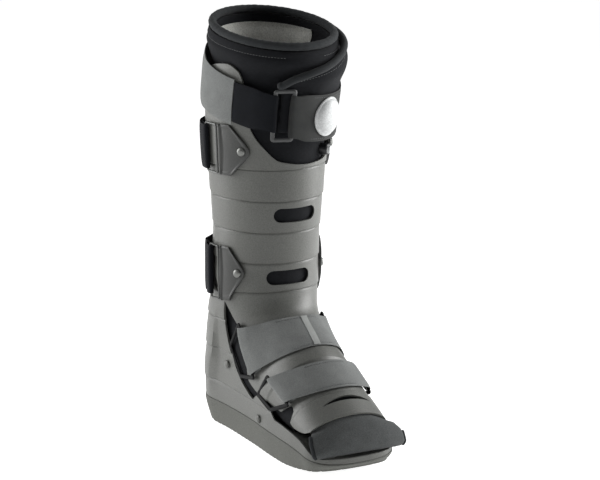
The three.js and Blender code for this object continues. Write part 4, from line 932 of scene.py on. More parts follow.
def groove_depth(y):
    """The depth of the tread's cross grooves at a place along the sole."""
    centre = SOLE_LENGTH * TREAD_BACK + TREAD_PITCH / 2
    place = (centre - y + TREAD_PITCH / 2) % TREAD_PITCH - TREAD_PITCH / 2
    inside = -SOLE_LENGTH * TREAD_FRONT < y < centre + TREAD_GROOVE
    return TREAD_DEPTH if inside and abs(place) < TREAD_GROOVE / 2 else 0.0


class BOOT_OT_sole(bpy.types.Operator):
    """Builds the rocker sole with its cross grooves"""

    bl_idname = "boot.sole"
    bl_label = "Sole"

    def execute(self, context):
        steps = {"back_points": 90, "front_points": 330}

        def level(offset, height_at):
            return level_ring(SOLE_HEIGHT, offset, height_at, **steps)
        levels = [
            level(-SOLE_EDGE_INSET, lambda y: rocker_height(y) + groove_depth(y)),
            level(-SOLE_EDGE_INSET * 0.9, lambda y: rocker_height(y) + max(0.5, groove_depth(y))),
            level(-SOLE_EDGE_INSET * 0.8, lambda y: rocker_height(y) + TREAD_DEPTH + 0.6),
            level(-SOLE_EDGE_INSET * 0.45, lambda y: min(
                rocker_height(y) + SOLE_HEIGHT * 0.3, mix(rocker_height(y), parting_height(y), 0.35))),
            level(-SOLE_EDGE_INSET * 0.1, lambda y: mix(rocker_height(y), parting_height(y), 0.6)),
            level(0.6, lambda y: mix(rocker_height(y), parting_height(y), 0.82)),
            level(0.6, lambda y: parting_height(y) - 0.6),
            level(0.0, parting_height),
        ]
        sole = new_object("walking_sole", *ladder(levels))
        seat(sole, "sole_rubber", ("rocker_sole",))
        return {"FINISHED"}


CUFF_LIFT, CUFF_STATION, CUFF_FLARE, SEAM_STATION = 2.0, 446.0, 418.0, 446.0
LINER_TOE_STATION, FLOOR_STATION = 20, 120
PAD_STATION, PAD_FROM, PAD_TO = 365, 108, 252


def liner_lift(station, angle, wall):
    """The soft boot's outer face: inside the shells below, full at the cuff, drawn in at its seam."""
    inside = -(wall + 4 * SEAT_GAP)
    tuck = (wall + SEAT_GAP) * smooth_step(56, 72, abs(angle)) * smooth_step(122, 150, station)
    seam = 1.1 * math.exp(-((station - SEAM_STATION) / 1.5) ** 2)
    return mix(inside - tuck, CUFF_LIFT, smooth_step(CUFF_FLARE, CUFF_STATION, station)) - seam


def liner_ring(station, inset, drop, wall, sides=112):
    """A ring of the soft boot, flattened on the footbed and kept inside the rear shell."""
    x, y, z, crown_z, lean, half, front, back = form_ring(station)
    floor = 1 - smooth_step(FLOOR_STATION - 6, FLOOR_STATION + 8, station)
    square = mix(2.0, 2.8, floor)
    if floor > 0:
        floor_y = y + z * math.cos(lean) / max(math.sin(lean), 0.5)
        floor_y = clamp(floor_y, -SOLE_LENGTH * 0.6, SOLE_LENGTH * 0.2)
        floor_z = parting_height(floor_y) + FOOTBED_WALL + 2.6 * SEAT_GAP
        back = mix(back, (crown_z - floor_z) / math.sin(lean) - front, floor)
    ring = []
    for k in range(sides):
        angle = 360 * k / sides
        lift = liner_lift(station, angle - 360 if angle > 180 else angle, wall) - inset
        turn = math.radians(angle)
        ahead, side = math.cos(turn), math.sin(turn)
        power = 2 / square if ahead < 0 else 1.0
        across = math.copysign(abs(side) ** power, side) * (half + lift)
        behind = mix(lift, -inset, floor)
        out = ahead * (front + lift) if ahead >= 0 else -(abs(ahead) ** power) * (back + behind)
        py = y - out * math.cos(lean) - drop * math.sin(lean)
        pz = z + out * math.sin(lean) - drop * math.cos(lean)
        if pz < BOOT_HEIGHT * 0.3:
            limit = rear_side(py, pz, wall) - wall - 3 * SEAT_GAP - inset
            across = clamp(across, -limit, limit)
        ring.append(Vector((x + across, py, pz)))
    return ring


class BOOT_OT_soft_boot(bpy.types.Operator):
    """Builds the padded soft boot with its rolled rim, lining pad and seam"""

    bl_idname = "boot.soft_boot"
    bl_label = "Soft boot"

    def execute(self, context):
        wall = context.scene.boot_shell.wall / MM
        pitch = context.scene.boot_cloth.stitch / MM
        stations = sorted({*range(24, 412, 6), *range(412, 449), LINER_TOE_STATION}, reverse=True)

        def thick(station):
            return mix(FOOT_LINER_WALL, LINER_WALL, smooth_step(100, 200, station))
        drop = BINDING_RADIUS + SEAT_GAP
        outer = [liner_ring(TOP_STATION, 0, drop, wall)] + [liner_ring(s, 0, 0, wall) for s in stations]
        inner = [liner_ring(TOP_STATION, LINER_WALL, drop, wall)]
        inner += [liner_ring(s, thick(s), 0, wall) for s in stations]
        liner = new_object("soft_boot", *hoop(outer + inner[::-1]))
        seat(liner, "liner_fabric", ("liner",), sharp=60)
        lift = CUFF_LIFT - LINER_WALL / 2
        path = [form_point(TOP_STATION, angle, lift) for angle in spread(180, 0, 360)[:-1]]
        lean = form_ring(TOP_STATION)[4]
        up = Vector((0, math.sin(lean), math.cos(lean)))
        rings = []
        for i, centre in enumerate(path):
            angle = 2.0 * i
            out = (form_point(TOP_STATION, angle, lift + 1) - centre).normalized()
            puff = 1 + 0.03 * math.sin(i * 1.9) + 0.02 * math.sin(i * 0.83 + 1)
            rings.append(circle_round(centre, out, up, BINDING_RADIUS * puff, 18))
        rim = new_object("cuff_rim", *hoop(rings))
        seat(rim, "binding_fabric", ("rim_binding",), sharp=80)

        def pad_point(station, angle, share):
            base = liner_lift(station, 180, wall) - LINER_WALL - 0.4
            edge = min(station - PAD_STATION, CUFF_STATION - station,
                       (angle - PAD_FROM) * 1.2, (PAD_TO - angle) * 1.2)
            crown = 0.5 + 2.5 * smooth_step(0, 10, edge)
            return form_point(station, angle, base - share * crown)
        grids = [[[pad_point(s, a, share) for a in spread(60, PAD_FROM, PAD_TO)]
                  for s in spread(32, PAD_STATION, CUFF_STATION)] for share in (0, 1)]
        pad = new_object("cuff_pad", *slab(*grids))
        seat(pad, "pale_lining", ("lining_pad",), sharp=60)
        seam = []
        for angle in spread(200, 20, 340):
            lift = liner_lift(SEAM_STATION, angle if angle <= 180 else angle - 360, wall) + 0.1
            seam.append((form_point(SEAM_STATION, angle, lift), form_out(SEAM_STATION, angle, 0)))
        stitch_row("cuff_stitching", seam, pitch)
        return {"FINISHED"}


# The overlap flap's edge: angle, top, bottom, lift
FLAP = (
    (-20, 0.853, 0.742, 2.0), (-12, 0.875, 0.742, 2.4), (2, 0.893, 0.742, 2.7), (16, 0.906, 0.742, 4.8),
    (34, 0.921, 0.742, 4.9), (50, 0.934, 0.742, 4.9), (60, 0.940, 0.80, 5.2), (68, 0.942, 0.922, 5.0),
    (84, 0.944, 0.925, 4.6), (98, 0.946, 0.928, 4.2),
)


def flap_lift(share, angle, wall):
    """The flap's outer face: full above the straps and thin at its edges."""
    station = station_at(round(mix(smooth_value(FLAP, 2, angle), smooth_value(FLAP, 1, angle), share)
                               * BOOT_HEIGHT, 2))
    bulge = 5 * smooth_step(0.5, 0.8, share) * (1 - smooth_step(0.8, 1, share)) * smooth_step(-10, 30, angle)
    inner = liner_lift(station, angle, wall) + 3.4 * SEAT_GAP
    lift = max(smooth_value(FLAP, 3, angle) + bulge, inner + 4)
    rolled = smooth_step(0, 0.06, share) * smooth_step(-20.5, -17, angle)
    return station, inner, mix(inner + 1.2, lift, rolled)


class BOOT_OT_flap(bpy.types.Operator):
    """Builds the padded flap over the front of the cuff, its binding and its seam"""

    bl_idname = "boot.flap"
    bl_label = "Flap"

    def execute(self, context):
        wall = context.scene.boot_shell.wall / MM
        cloth = context.scene.boot_cloth
        grids = [[], []]
        for share in spread(26, 0, 1):
            rows = [[], []]
            for angle in spread(84, -20, 98):
                station, inner, outer = flap_lift(share, angle, wall)
                rows[0].append(form_point(station, angle, outer))
                rows[1].append(form_point(station, angle, inner))
            grids[0].append(rows[0])
            grids[1].append(rows[1])
        flap = new_object("cuff_overlap", *slab(*grids))
        puffed(flap, 2.0, cloth.swell / MM)
        seat(flap, "liner_fabric", ("cuff_flap",), sharp=70)
        radius = BINDING_RADIUS * 0.9
        path = []
        for angle in spread(70, -22, 98):
            station = station_at(round(smooth_value(FLAP, 1, angle) * BOOT_HEIGHT, 2))
            lift = max(smooth_value(FLAP, 3, angle), liner_lift(station, angle, wall) + 5)
            clear = liner_lift(CUFF_STATION, angle, wall) + radius + 1
            path.append(form_point(station + radius + 3.5 * SEAT_GAP, angle, max(lift + radius * 0.2, clear)))
        binding = new_object("overlap_binding", *tube(path, radius, 18))
        seat(binding, "binding_fabric", ("flap_binding",), sharp=80)
        seam = []
        for angle in spread(90, -16, 66):
            station, _, outer = flap_lift(0.93, angle, wall)
            seam.append((form_point(station, angle, outer + 0.5), form_out(station, angle, 0)))
        stitch_row("overlap_stitching", seam, cloth.stitch / MM)
        return {"FINISHED"}


BUCKLE_ANGLE, BUCKLE_LIFT, BUCKLE_WIDTH, BUCKLE_HEIGHT, RING_BAR = -17, 7.0, 22.0, 57.0, 1.5
RING_FOLD = RING_BAR + SEAT_GAP + STRAP_THICKNESS / 2
BUCKLE_REACH = (BUCKLE_WIDTH / 2 - RING_BAR) / CALF_DEGREE
HOOK_BAR, PANEL_BAR = BUCKLE_ANGLE - BUCKLE_REACH, BUCKLE_ANGLE + BUCKLE_REACH
PANEL_LIFT, PANEL_WIDTH = 7.4, 51.0
TOP_STRAP_HEIGHT, TOP_STRAP_TILT, TOP_STRAP_TURN, FAR_SIDE_RAISE = 385, 22, 30, 15
TOP_STRAP_WIDTH, HOOK_WIDTH, CALF_STRAP_WIDTH = 54, 46, 49


@lru_cache(maxsize=None)
def top_middle(angle):
    """The station of the top straps' middle line, which runs down towards the front."""
    turn = (angle + 540) % 360 - 180
    raised = FAR_SIDE_RAISE * smooth_step(55, 84, turn) * (1 - smooth_step(115, 165, turn))
    tilt = TOP_STRAP_TILT * math.cos(math.radians(turn - TOP_STRAP_TURN))
    return station_at(round(TOP_STRAP_HEIGHT - tilt + raised, 2))


def panel_width(angle):
    return PANEL_WIDTH * mix(mix(0.91, 1, smooth_step(-6, 4, angle)), 0.72, smooth_step(60, 80, angle))


def hook_width(angle):
    return mix(HOOK_WIDTH, HOOK_WIDTH * 0.88, smooth_step(-44, -32, angle))


PANEL_PATH = (
    [(PANEL_BAR + 13, BUCKLE_LIFT - RING_FOLD + 0.1), (PANEL_BAR + 5, BUCKLE_LIFT - RING_FOLD)]
    + round_bar(PANEL_BAR, BUCKLE_LIFT, RING_FOLD, CALF_DEGREE, 270, 90)
    + [(PANEL_BAR + 8, BUCKLE_LIFT + RING_FOLD - 0.8), (7, PANEL_LIFT + 0.8)]
    + [(a, PANEL_LIFT) for a in (16, 26, 36, 47)]
    + [(57, PANEL_LIFT - 0.2), (66, 6.2), (76, 4.9), (88, 4.4), (98, 4.2)]
)


class BOOT_OT_top_straps(bpy.types.Operator):
    """Builds the straps round the calf's top, the ring buckle and the panel that carries the pump"""

    bl_idname = "boot.top_straps"
    bl_label = "Top straps"

    def execute(self, context):
        pitch = context.scene.boot_cloth.stitch / MM
        grey = [(-60, 4.0), (-72, 4.0), (-84, 3.9), (-98, 3.8), (-108, 2.5), (-120, 1.8)]
        grey += [(a, LAY + 0.6) for a in spread(11, -132, -276)]
        seat(new_object("calf_top_strap", *band(grey, TOP_STRAP_WIDTH, top_middle, CALF_DEGREE)),
             "grey_webbing", ("top_strap",), sharp=60)
        hook = [(-96, LAY + 0.6), (-84, LAY + 0.6), (-72, LAY + 0.6), (-62, LAY + 0.8), (-53, LAY + 1),
                (-46, 2.4), (HOOK_BAR - 6, BUCKLE_LIFT - RING_FOLD)]
        hook += round_bar(HOOK_BAR, BUCKLE_LIFT, RING_FOLD, CALF_DEGREE, -90, 90)
        hook += [(HOOK_BAR - 6, BUCKLE_LIFT + 1.4), (-46, 4.6), (-53, 3.9), (-59, 3.8)]
        seat(new_object("buckle_strap", *band(hook, hook_width, top_middle, CALF_DEGREE)),
             "hook_webbing", ("hook_strap",), sharp=60)
        seat(new_object("air_panel", *band(PANEL_PATH, panel_width, top_middle, CALF_DEGREE)),
             "panel_webbing", ("pump_panel",), sharp=60)
        face = PANEL_LIFT + STRAP_THICKNESS / 2

        def seam_at(angle, share):
            up = share * (panel_width(angle) / 2 - SEAM_INSET)
            return form_point(top_middle(angle) + up, angle, face + 0.1), form_out(350, angle, 0)
        for word, share in SELVEDGES:
            row = [seam_at(angle, share) for angle in spread(90, -3, 52)]
            stitch_row(f"panel_stitching_{word}", row, pitch)
        row = [seam_at(-4, share) for share in spread(30, -1, 1)]
        stitch_row("panel_stitching_end", row, pitch)
        middle = top_middle(BUCKLE_ANGLE)
        half = BUCKLE_HEIGHT / 2 - RING_BAR
        corners = [form_point(middle + up * half, angle, BUCKLE_LIFT) for angle, up in (
            (HOOK_BAR, -1), (PANEL_BAR, -1), (PANEL_BAR, 0), (PANEL_BAR, 1), (HOOK_BAR, 1), (HOOK_BAR, 0))]
        ring = new_object("strap_ring", *loop_tube(
            rounded_loop(corners), form_out(middle, BUCKLE_ANGLE, 0), RING_BAR, 14, 1.6))
        seat(ring, "buckle_nylon", ("ring_buckle",), sharp=60)
        return {"FINISHED"}


# A rivet's head: radius, height
RIVET_PROFILE = (
    (0.05, 0), (4.8, 0), (4.8, 0.3), (4.5, 0.9), (3.8, 1.5), (2.8, 1.95), (1.5, 2.2), (0.05, 2.3),
)
# Each pair of calf plates: name, height, rear angle, tip angle, lift of the strap behind
PLATES = (("upper", 0.698, 74, 44, -1.1), ("lower", 0.404, 80, 50, 2.9))
PLATE_HEIGHT, PLATE_THICKNESS, LOOP_SPAN = 56.0, 1.8, 15.0
WIRE_GAP, RIVET_INSET, RIGHT_TURN = 2.6, 7.5, 7


def plate_front(share, rear, tip):
    """The angle of a plate's front edge, from its blunt tip to its corners."""
    blunt = 0.06

    def rounded(at):
        return math.sqrt(at * at + blunt) - math.sqrt(blunt)
    return mix(tip, rear - 11, rounded(share) / rounded(1))


def plate_grid(side, middle, rear, tip, lift, raised):
    """A face of a plate with its hem round the wire and its raised rim."""
    grid = []
    for share in spread(40, -1, 1):
        front = plate_front(abs(share), rear, tip)
        row = []
        for across in spread(26, 0, 1):
            hem = 1.6 * (1 - smooth_step(0.05, 0.14, across))
            edge = min(1 - abs(share), 1 - across) * 14
            rim = raised * (1 - smooth_step(1.2, 2.2, edge)) * smooth_step(0, 0.5, edge)
            row.append(form_point(middle + share * PLATE_HEIGHT / 2, side * mix(rear, front, across),
                                  lift + hem + rim))
        grid.append(row)
    return grid


class BOOT_OT_calf_hardware(bpy.types.Operator):
    """Builds the calf plates with their wire loops, rivets and back straps"""

    bl_idname = "boot.calf_hardware"
    bl_label = "Calf hardware"

    def execute(self, context):
        for name, height, rear, tip, behind in PLATES:
            middle = station_at(height * BOOT_HEIGHT)
            half = (PLATE_HEIGHT - LOOP_BAR) / 2
            loop_lift = 2 * SEAT_GAP + STRAP_THICKNESS + LOOP_BAR / 2 + 0.4
            for word, side in SIDES:
                turn = RIGHT_TURN if side > 0 else 0
                grids = [plate_grid(side, middle, rear + turn, tip + turn, 2.5 * SEAT_GAP + lift, raised)
                         for lift, raised in ((PLATE_THICKNESS, 0.5), (0, 0))]
                plate = new_object(f"{name}_tab_{word}", *slab(*grids))
                seat(plate, "plate_nylon", (f"{name}_plate_{word}",))
                near = rear + WIRE_GAP + turn
                far = near + LOOP_SPAN
                corners = [form_point(middle + up, side * angle, loop_lift) for angle, up in (
                    (near, -half), (far, -half), (far, half), (near, half))]
                out = form_out(middle, side * (near + far) / 2, 0)
                wire = new_object(f"{name}_wire_{word}", *loop_tube(rounded_loop(corners), out, LOOP_BAR / 2))
                seat(wire, "steel_wire", (f"{name}_loop_{word}",), sharp=60)
                face = SEAT_GAP * 3.9 + PLATE_THICKNESS
                place = form_frame(middle, side * (tip + RIVET_INSET + turn), face)
                stud = new_object(f"{name}_stud_{word}", *lathe(
                    RIVET_PROFILE, 32, lambda x, y, h, place=place: place @ Vector((x, y, h))))
                seat(stud, "rivet_steel", (f"{name}_rivet_{word}",))
            fold = LOOP_BAR / 2 + SEAT_GAP + STRAP_THICKNESS / 2

            def end(turn, rear=rear, behind=behind, loop_lift=loop_lift, fold=fold):
                bar = rear + WIRE_GAP + LOOP_SPAN + turn
                return ([(bar + 24, behind), (bar + 14, LAY + 0.2), (bar + 5, LAY + 0.2)]
                        + round_bar(bar, loop_lift, fold, CALF_DEGREE, -90, -270)
                        + [(bar + 7, loop_lift + fold - 0.6), (bar + 18, 3.2), (bar + 28, behind + 2.2),
                           (bar + 38, behind)])
            right = end(RIGHT_TURN)
            left = [(360 - a, lift) for a, lift in end(0)][::-1]
            back = [(a, behind) for a in spread(8, right[-1][0] + 10, left[0][0] - 10)]
            strap = band(right + back + left, CALF_STRAP_WIDTH, lambda angle, middle=middle: middle,
                         CALF_DEGREE)
            seat(new_object(f"{name}_back_strap", *strap), "hook_webbing", (f"{name}_calf_strap",), sharp=60)
        return {"FINISHED"}


PUMP_ANGLE = 26.0
# The pump bulb: radius, height
PUMP_PROFILE = (
    (0.05, 0.15), (20.6, 0.15), (21.4, 0.5), (21.5, 1.2), (21.2, 2.0), (20.4, 2.5), (19.9, 2.7), (19.3, 3.4),
    (18.4, 4.6), (17.0, 5.9), (15.0, 7.1), (12.3, 8.0), (9.0, 8.6), (5.0, 8.95), (2.0, 9.0), (0.05, 9.0),
)
VALVE_ANGLE, VALVE_HEIGHT, VALVE_LENGTH, VALVE_RADIUS, BUTTON_RADIUS = 38.5, 0.692, 9.0, 6.5, 4.6
BUTTON_DEPTH, BUTTON_TRAVEL, BUTTON_STANDS = 4, 1.5, 3


class BOOT_OT_air_parts(bpy.types.Operator):
    """Builds the pump bulb, the valve collar and its push button"""

    bl_idname = "boot.air_parts"
    bl_label = "Pump and valve"

    def execute(self, context):
        wall = context.scene.boot_shell.wall / MM
        station = top_middle(PUMP_ANGLE) + 1
        face = PANEL_LIFT + STRAP_THICKNESS / 2
        per_degree = (form_point(station, PUMP_ANGLE + 0.5, face)
                      - form_point(station, PUMP_ANGLE - 0.5, face)).length

        def on_panel(x, y, height):
            return form_point(station + y, PUMP_ANGLE + x / per_degree, face + height)
        bulb = new_object("air_bulb", *lathe(PUMP_PROFILE, 72, on_panel))
        seat(bulb, "pump_silicone", ("pump_bulb",), sharp=60)
        place_station = station_at(VALVE_HEIGHT * BOOT_HEIGHT)
        place = form_frame(place_station, VALVE_ANGLE, liner_lift(place_station, VALVE_ANGLE, wall))

        def at_valve(x, y, height):
            return place @ Vector((x, y, height))
        bore = BUTTON_RADIUS + 0.4
        collar = ((0.05, 0.3), (VALVE_RADIUS, 0.3), (VALVE_RADIUS, VALVE_LENGTH - 1.4),
                  (VALVE_RADIUS - 0.2, VALVE_LENGTH - 0.7), (VALVE_RADIUS - 0.7, VALVE_LENGTH - 0.15),
                  (bore + 0.3, VALVE_LENGTH), (bore, VALVE_LENGTH - 0.3), (bore, VALVE_LENGTH - BUTTON_DEPTH),
                  (0.05, VALVE_LENGTH - BUTTON_DEPTH))
        seat(new_object("valve_body", *lathe(collar, 40, at_valve)), "valve_black", ("valve_collar",))
        foot = VALVE_LENGTH - BUTTON_DEPTH + BUTTON_TRAVEL + SEAT_GAP
        top = VALVE_LENGTH + BUTTON_STANDS
        button = ((0.05, foot), (BUTTON_RADIUS, foot), (BUTTON_RADIUS, top - 1.0),
                  (BUTTON_RADIUS - 0.25, top - 0.4), (BUTTON_RADIUS - 0.8, top - 0.08), (3.0, top),
                  (2.4, top - 0.25), (0.05, top - 0.3))
        seat(new_object("release_button", *lathe(button, 40, at_valve)), "pump_silicone",
             ("valve_button",), body="button")
        return {"FINISHED"}


ANKLE_STATION = 114
# Each foot strap: name, station, sweep, width, share of it left at the ends, end angle, where its loop
# meets the rear shell's edge (from, to), skew
FOOT_STRAPS = (
    ("ankle", ANKLE_STATION, 8, 50, 0.8, 73, 0.045, 0.115, 8),
    ("forefoot", 49, 15, 38, 1, 68, 0.262, 0.37, 0),
)
TAPE_HALF_LENGTH, TAPE_SPAN, TAPE_FROM, TAPE_TO = 24.2, 48.8, -3.6, 4.6
# Rivets on the rear shell's sides: name, along, height
SHELL_RIVETS = (("ankle", 0.02, 0.168), ("forefoot", 0.279, 0.079))


def edge_point(along, side, wall):
    """A point just above the edge of the rear shell's side, in the middle of its wall."""
    after = next(i for i, row in enumerate(REAR_EDGE) if i > 1 and row[0] >= along)
    a, b = REAR_EDGE[after - 1], REAR_EDGE[after]
    run = Vector(((b[0] - a[0]) * SOLE_LENGTH, (b[1] - a[1]) * BOOT_HEIGHT)).normalized()
    clear = LOOP_BAR / 2 + 3 * SEAT_GAP
    y = -along * SOLE_LENGTH + run.y * clear
    z = mix(a[1], b[1], (along - a[0]) / (b[0] - a[0])) * BOOT_HEIGHT + run.x * clear
    return Vector((side * (rear_side(y, z, wall) - wall / 2), y, z))


class BOOT_OT_foot_straps(bpy.types.Operator):
    """Builds the ankle strap and the forefoot strap with their loops and rivets"""

    bl_idname = "boot.foot_straps"
    bl_label = "Foot straps"

    def execute(self, context):
        wall = context.scene.boot_shell.wall / MM
        pitch = context.scene.boot_cloth.stitch / MM
        fold = LOOP_BAR / 2 + SEAT_GAP + STRAP_THICKNESS / 2
        bar_lift = SEAT_GAP * 2 + STRAP_THICKNESS + LOOP_BAR / 2 + 0.3
        lay = LAY + 0.4
        for name, station, sweep, width, end_share, turn, loop_from, loop_to, skew in FOOT_STRAPS:
            def middle_at(angle, station=station, sweep=sweep):
                return station + sweep * (min(abs(angle), 90) / 75) ** 2

            def width_at(angle, width=width, end_share=end_share, turn=turn):
                return width * mix(1, end_share, smooth_step(20, turn, abs(angle)))
            right = [(turn - 12, lay), (turn - 5, lay)]
            right += round_bar(turn, bar_lift, fold, FOOT_DEGREE, -90, 90)
            right += [(turn - 6, bar_lift + fold - 0.4), (turn - 14, lay + 2.4),
                      (turn - 24, lay + 0.5), (turn - 34, lay)]
            left = [(-a, lift) for a, lift in right][::-1]
            crown = [(a, lay) for a in spread(3, turn - 44, 44 - turn)]
            strap = band((right + crown + left)[::-1], width_at, middle_at, FOOT_DEGREE, skew=skew)
            seat(new_object(f"{name}_band", *strap), "grey_webbing", (f"{name}_strap",), sharp=60)
            face = lay + STRAP_THICKNESS / 2 + 0.1
            for word, share in SELVEDGES:
                row = [(form_point(middle_at(a) + share * (width_at(a) / 2 - SEAM_INSET), a, face),
                        form_out(station, a, 0)) for a in spread(60, -26, 26)]
                stitch_row(f"{name}_stitching_{word}", row, pitch)
            reach = 1 + 2 * (LOOP_BAR + 4 * SEAT_GAP) / width
            for word, side in SIDES:
                middle = form_point(middle_at(turn), side * turn, bar_lift)

                def bar_end(up, middle=middle, side=side, end=width * end_share,
                            middle_at=middle_at, turn=turn, skew=skew):
                    place = form_point(middle_at(turn) + up * end / 2,
                                       side * (turn - up * skew), bar_lift)
                    return middle + (place - middle) * reach
                corners = [bar_end(-1), edge_point(loop_to, side, wall), edge_point(loop_from, side, wall),
                           bar_end(1), middle]
                loop = new_object(f"{name}_ring_{word}", *loop_tube(
                    rounded_loop(corners), Vector((side, 0, 0)), LOOP_BAR / 2, flat=1.9))
                seat(loop, "loop_nylon", (f"{name}_loop_{word}",), sharp=60)
        stripe = []
        for lift in (lay + STRAP_THICKNESS / 2 + 0.5, lay + STRAP_THICKNESS / 2 + 0.05):
            stripe.append([[form_point(ANKLE_STATION + up, a + mix(0.5, 6.5, up / TAPE_SPAN + 0.5), lift)
                            for a in spread(6, TAPE_FROM, TAPE_TO)]
                           for up in spread(24, -TAPE_HALF_LENGTH, TAPE_HALF_LENGTH)])
        seat(new_object("ankle_tape", *slab(*stripe)), "pale_tape")
        for name, along, height in SHELL_RIVETS:
            y, z = -along * SOLE_LENGTH, height * BOOT_HEIGHT
            for word, side in SIDES:
                base = rear_side(y, z, wall) + 2 * SEAT_GAP

                def on_side(a, b, h, base=base, side=side, y=y, z=z):
                    return Vector((side * (base + h), y + a * side, z + b))
                stud = new_object(f"{name}_stud_{word}", *lathe(RIVET_PROFILE, 32, on_side))
                seat(stud, "shell_plastic", (f"{name}_rivet_{word}",))
        return {"FINISHED"}


# Toe cover rows in shares of the sole's length: along, height, half, shift, behind, below
TOE_COVER = (
    (0.675, 0.185, 0.168, 0.012, 0.036, 0.024), (0.696, 0.148, 0.182, 0.021, 0.036, 0.020),
    (0.705, 0.113, 0.182, 0.022, 0.031, 0.015), (0.702, 0.086, 0.170, 0.022, 0.027, 0.008),
)
TOE_COVER_WALL = 4.5
TOE_TUCK_STATIONS, TOE_TUCK_REACH, TOE_BEND = (12, 4.5, -3), 72, 2.6
PIPING_RADIUS, INNER_CORD_RADIUS, PIPING_OUT = 2.1, 1.6, 0.8


def toe_grid(depth, wall, columns=64):
    """A face of the toe cover: tucked under the front shell, then over the toes to the sole."""
    shares = spread(columns, -1, 1)
    tuck = wall + 4 * SEAT_GAP
    grid = [[form_point(station, s * TOE_TUCK_REACH, -tuck - depth) for s in shares]
            for station in TOE_TUCK_STATIONS]
    numbered = [(row, *values) for row, values in enumerate(TOE_COVER)]
    for row in spread(18, 0, len(TOE_COVER) - 1):
        along, height, half, shift, behind, below = (smooth_value(numbered, c, row) for c in range(1, 7))
        lean = math.radians(mix(45, -4, row / (len(TOE_COVER) - 1)))
        line = []
        for s in shares:
            bend = abs(s) ** TOE_BEND * SOLE_LENGTH
            line.append(Vector(((shift + s * half) * SOLE_LENGTH,
                                -along * SOLE_LENGTH + bend * behind + depth * math.cos(lean),
                                height * SOLE_LENGTH - bend * below - depth * math.sin(lean))))
        grid.append(line)
    return grid


class BOOT_OT_toe_cover(bpy.types.Operator):
    """Builds the padded toe cover and the piping at its side edges"""

    bl_idname = "boot.toe_cover"
    bl_label = "Toe cover"

    def execute(self, context):
        wall = context.scene.boot_shell.wall / MM
        cover = new_object("toe_pad", *slab(toe_grid(0, wall), toe_grid(TOE_COVER_WALL, wall)))
        puffed(cover, 1.8, context.scene.boot_cloth.swell / MM)
        seat(cover, "toe_fabric", ("toe_cover",), sharp=70)
        for word, side in SIDES:
            edge = [row[0 if side < 0 else -1].copy() for row in toe_grid(TOE_COVER_WALL / 2, wall)[3:]]
            for point in edge:
                point.x += side * PIPING_OUT
            first = 1 if side < 0 else 6
            out = Vector((side, 0, 0))
            outer = new_object(f"toe_cord_{word}", *tube(edge[first:-2], PIPING_RADIUS, 16, out))
            beside = [point + Vector((-side * 4.6, -1.5, 1.0)) for point in edge[first + 1:-2]]
            inner = new_object(f"toe_inner_cord_{word}", *tube(beside, INNER_CORD_RADIUS, 16, out))
            seat(inner, "binding_fabric", sharp=80)
            seat(outer, "binding_fabric", (f"toe_piping_{word}",), sharp=80)
        return {"FINISHED"}


# Each light: name, place, height it points at, size, share of the side lights' power
LIGHTS = (
    ("left_light", (-1.36, 1.06, 0.8), 0.25, (0.9, 1.6), 0.72),
    ("right_light", (1.73, -0.45, 0.8), 0.25, (0.9, 1.6), 1.15),
    ("top_light", (-0.3, -0.4, 2.1), 0.2, (1.6, 1.2), 0.06),
)
FLOOR_REACH, WORLD_STRENGTH = 9, 0.14
CAMERA_LENS, CAMERA_SENSOR, CAMERA_SHIFT, CAMERA_AIM_HEIGHT = 130.9, 36.0, 0.0583, 0.215


def area_light(name, place, aim, size, power):
    light = bpy.data.lights.new(name, "AREA")
    light.shape = "RECTANGLE"
    light.size, light.size_y = size
    light.energy = power
    obj = bpy.data.objects.new(name, light)
    obj.location = place
    obj.rotation_euler = (Vector(aim) - Vector(place)).to_track_quat("-Z", "Y").to_euler()
    bpy.context.scene.collection.objects.link(obj)


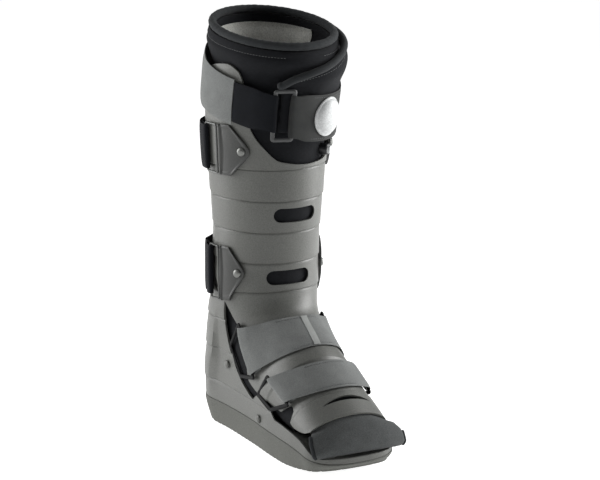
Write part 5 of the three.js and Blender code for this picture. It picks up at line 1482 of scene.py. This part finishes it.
class BOOT_OT_stage(bpy.types.Operator):
    """Builds the studio: a pale floor, soft lights and the camera"""

    bl_idname = "boot.stage"
    bl_label = "Stage"

    def execute(self, context):
        settings = context.scene.boot_stage
        scene = context.scene
        scene.view_settings.view_transform = "Standard"
        corners = [Vector((x, y, 0)) * FLOOR_REACH for x, y in ((-1, -1), (1, -1), (1, 1), (-1, 1))]
        floor = new_object("floor", corners, [(0, 1, 2, 3)], scale=1.0)
        # A sheet of white paper: matt, with the faintest mottling, and lit from below so it stays white
        paper, tree, place, _, shader = new_surface("White paper", "#bcbcbc", "#c0c0c0", 300, {
            "Roughness": 0.9, "Emission Color": (1, 1, 1, 1), "Emission Strength": 0.92})
        relief(tree, shader, [(grain(tree, place, 4), 0.02)])
        floor.data.materials.append(paper)
        for name, spot, height, size, share in LIGHTS:
            area_light(name, spot, (0, 0, height), size, settings.side_light * share)
        world = bpy.data.worlds.new("Studio")
        world.use_nodes = True
        background = world.node_tree.nodes["Background"]
        background.inputs["Color"].default_value = (1, 1, 1, 1)
        background.inputs["Strength"].default_value = WORLD_STRENGTH
        scene.world = world
        camera = bpy.data.cameras.new("camera")
        camera.lens, camera.sensor_width, camera.shift_x = CAMERA_LENS, CAMERA_SENSOR, CAMERA_SHIFT
        camera.clip_end = 50
        holder = bpy.data.objects.new("camera", camera)
        level, turn = settings.elevation, settings.azimuth
        back = Vector((math.sin(turn) * math.cos(level), -math.cos(turn) * math.cos(level), math.sin(level)))
        holder.location = Vector((0, 0, CAMERA_AIM_HEIGHT)) + back * settings.distance
        holder.rotation_euler = (-back).to_track_quat("-Z", "Y").to_euler()
        scene.collection.objects.link(holder)
        scene.camera = holder
        return {"FINISHED"}


class BOOT_PT_panel(bpy.types.Panel):
    """The boot's settings and steps in the 3D view's sidebar"""

    bl_label = "Walking Boot"
    bl_idname = "BOOT_PT_panel"
    bl_space_type = "VIEW_3D"
    bl_region_type = "UI"
    bl_category = "Boot"

    def draw(self, context):
        layout = self.layout
        scene = context.scene
        for group, names in (("boot_shell", ("wall", "band_step")), ("boot_cloth", ("swell", "stitch")),
                             ("boot_stage", ("azimuth", "elevation", "distance", "side_light"))):
            box = layout.box()
            for name in names:
                box.prop(getattr(scene, group), name)
        for operator in STEPS:
            layout.operator(operator.bl_idname)


GROUPS = (
    ("boot_shell", BootShellSettings), ("boot_cloth", BootClothSettings), ("boot_stage", BootStageSettings),
)
STEPS = (
    BOOT_OT_stage, BOOT_OT_sole, BOOT_OT_shells, BOOT_OT_soft_boot, BOOT_OT_flap, BOOT_OT_top_straps,
    BOOT_OT_calf_hardware, BOOT_OT_air_parts, BOOT_OT_foot_straps, BOOT_OT_toe_cover,
)


def register():
    for name, group in GROUPS:
        bpy.utils.register_class(group)
        setattr(bpy.types.Scene, name, bpy.props.PointerProperty(type=group))
    for step in STEPS:
        bpy.utils.register_class(step)
    bpy.utils.register_class(BOOT_PT_panel)


def unregister():
    bpy.utils.unregister_class(BOOT_PT_panel)
    for step in reversed(STEPS):
        bpy.utils.unregister_class(step)
    for name, group in reversed(GROUPS):
        delattr(bpy.types.Scene, name)
        bpy.utils.unregister_class(group)


def main():
    register()
    make_materials()
    for step in STEPS:
        area, name = step.bl_idname.split(".")
        getattr(getattr(bpy.ops, area), name)()


if __name__ == "__main__":
    main()
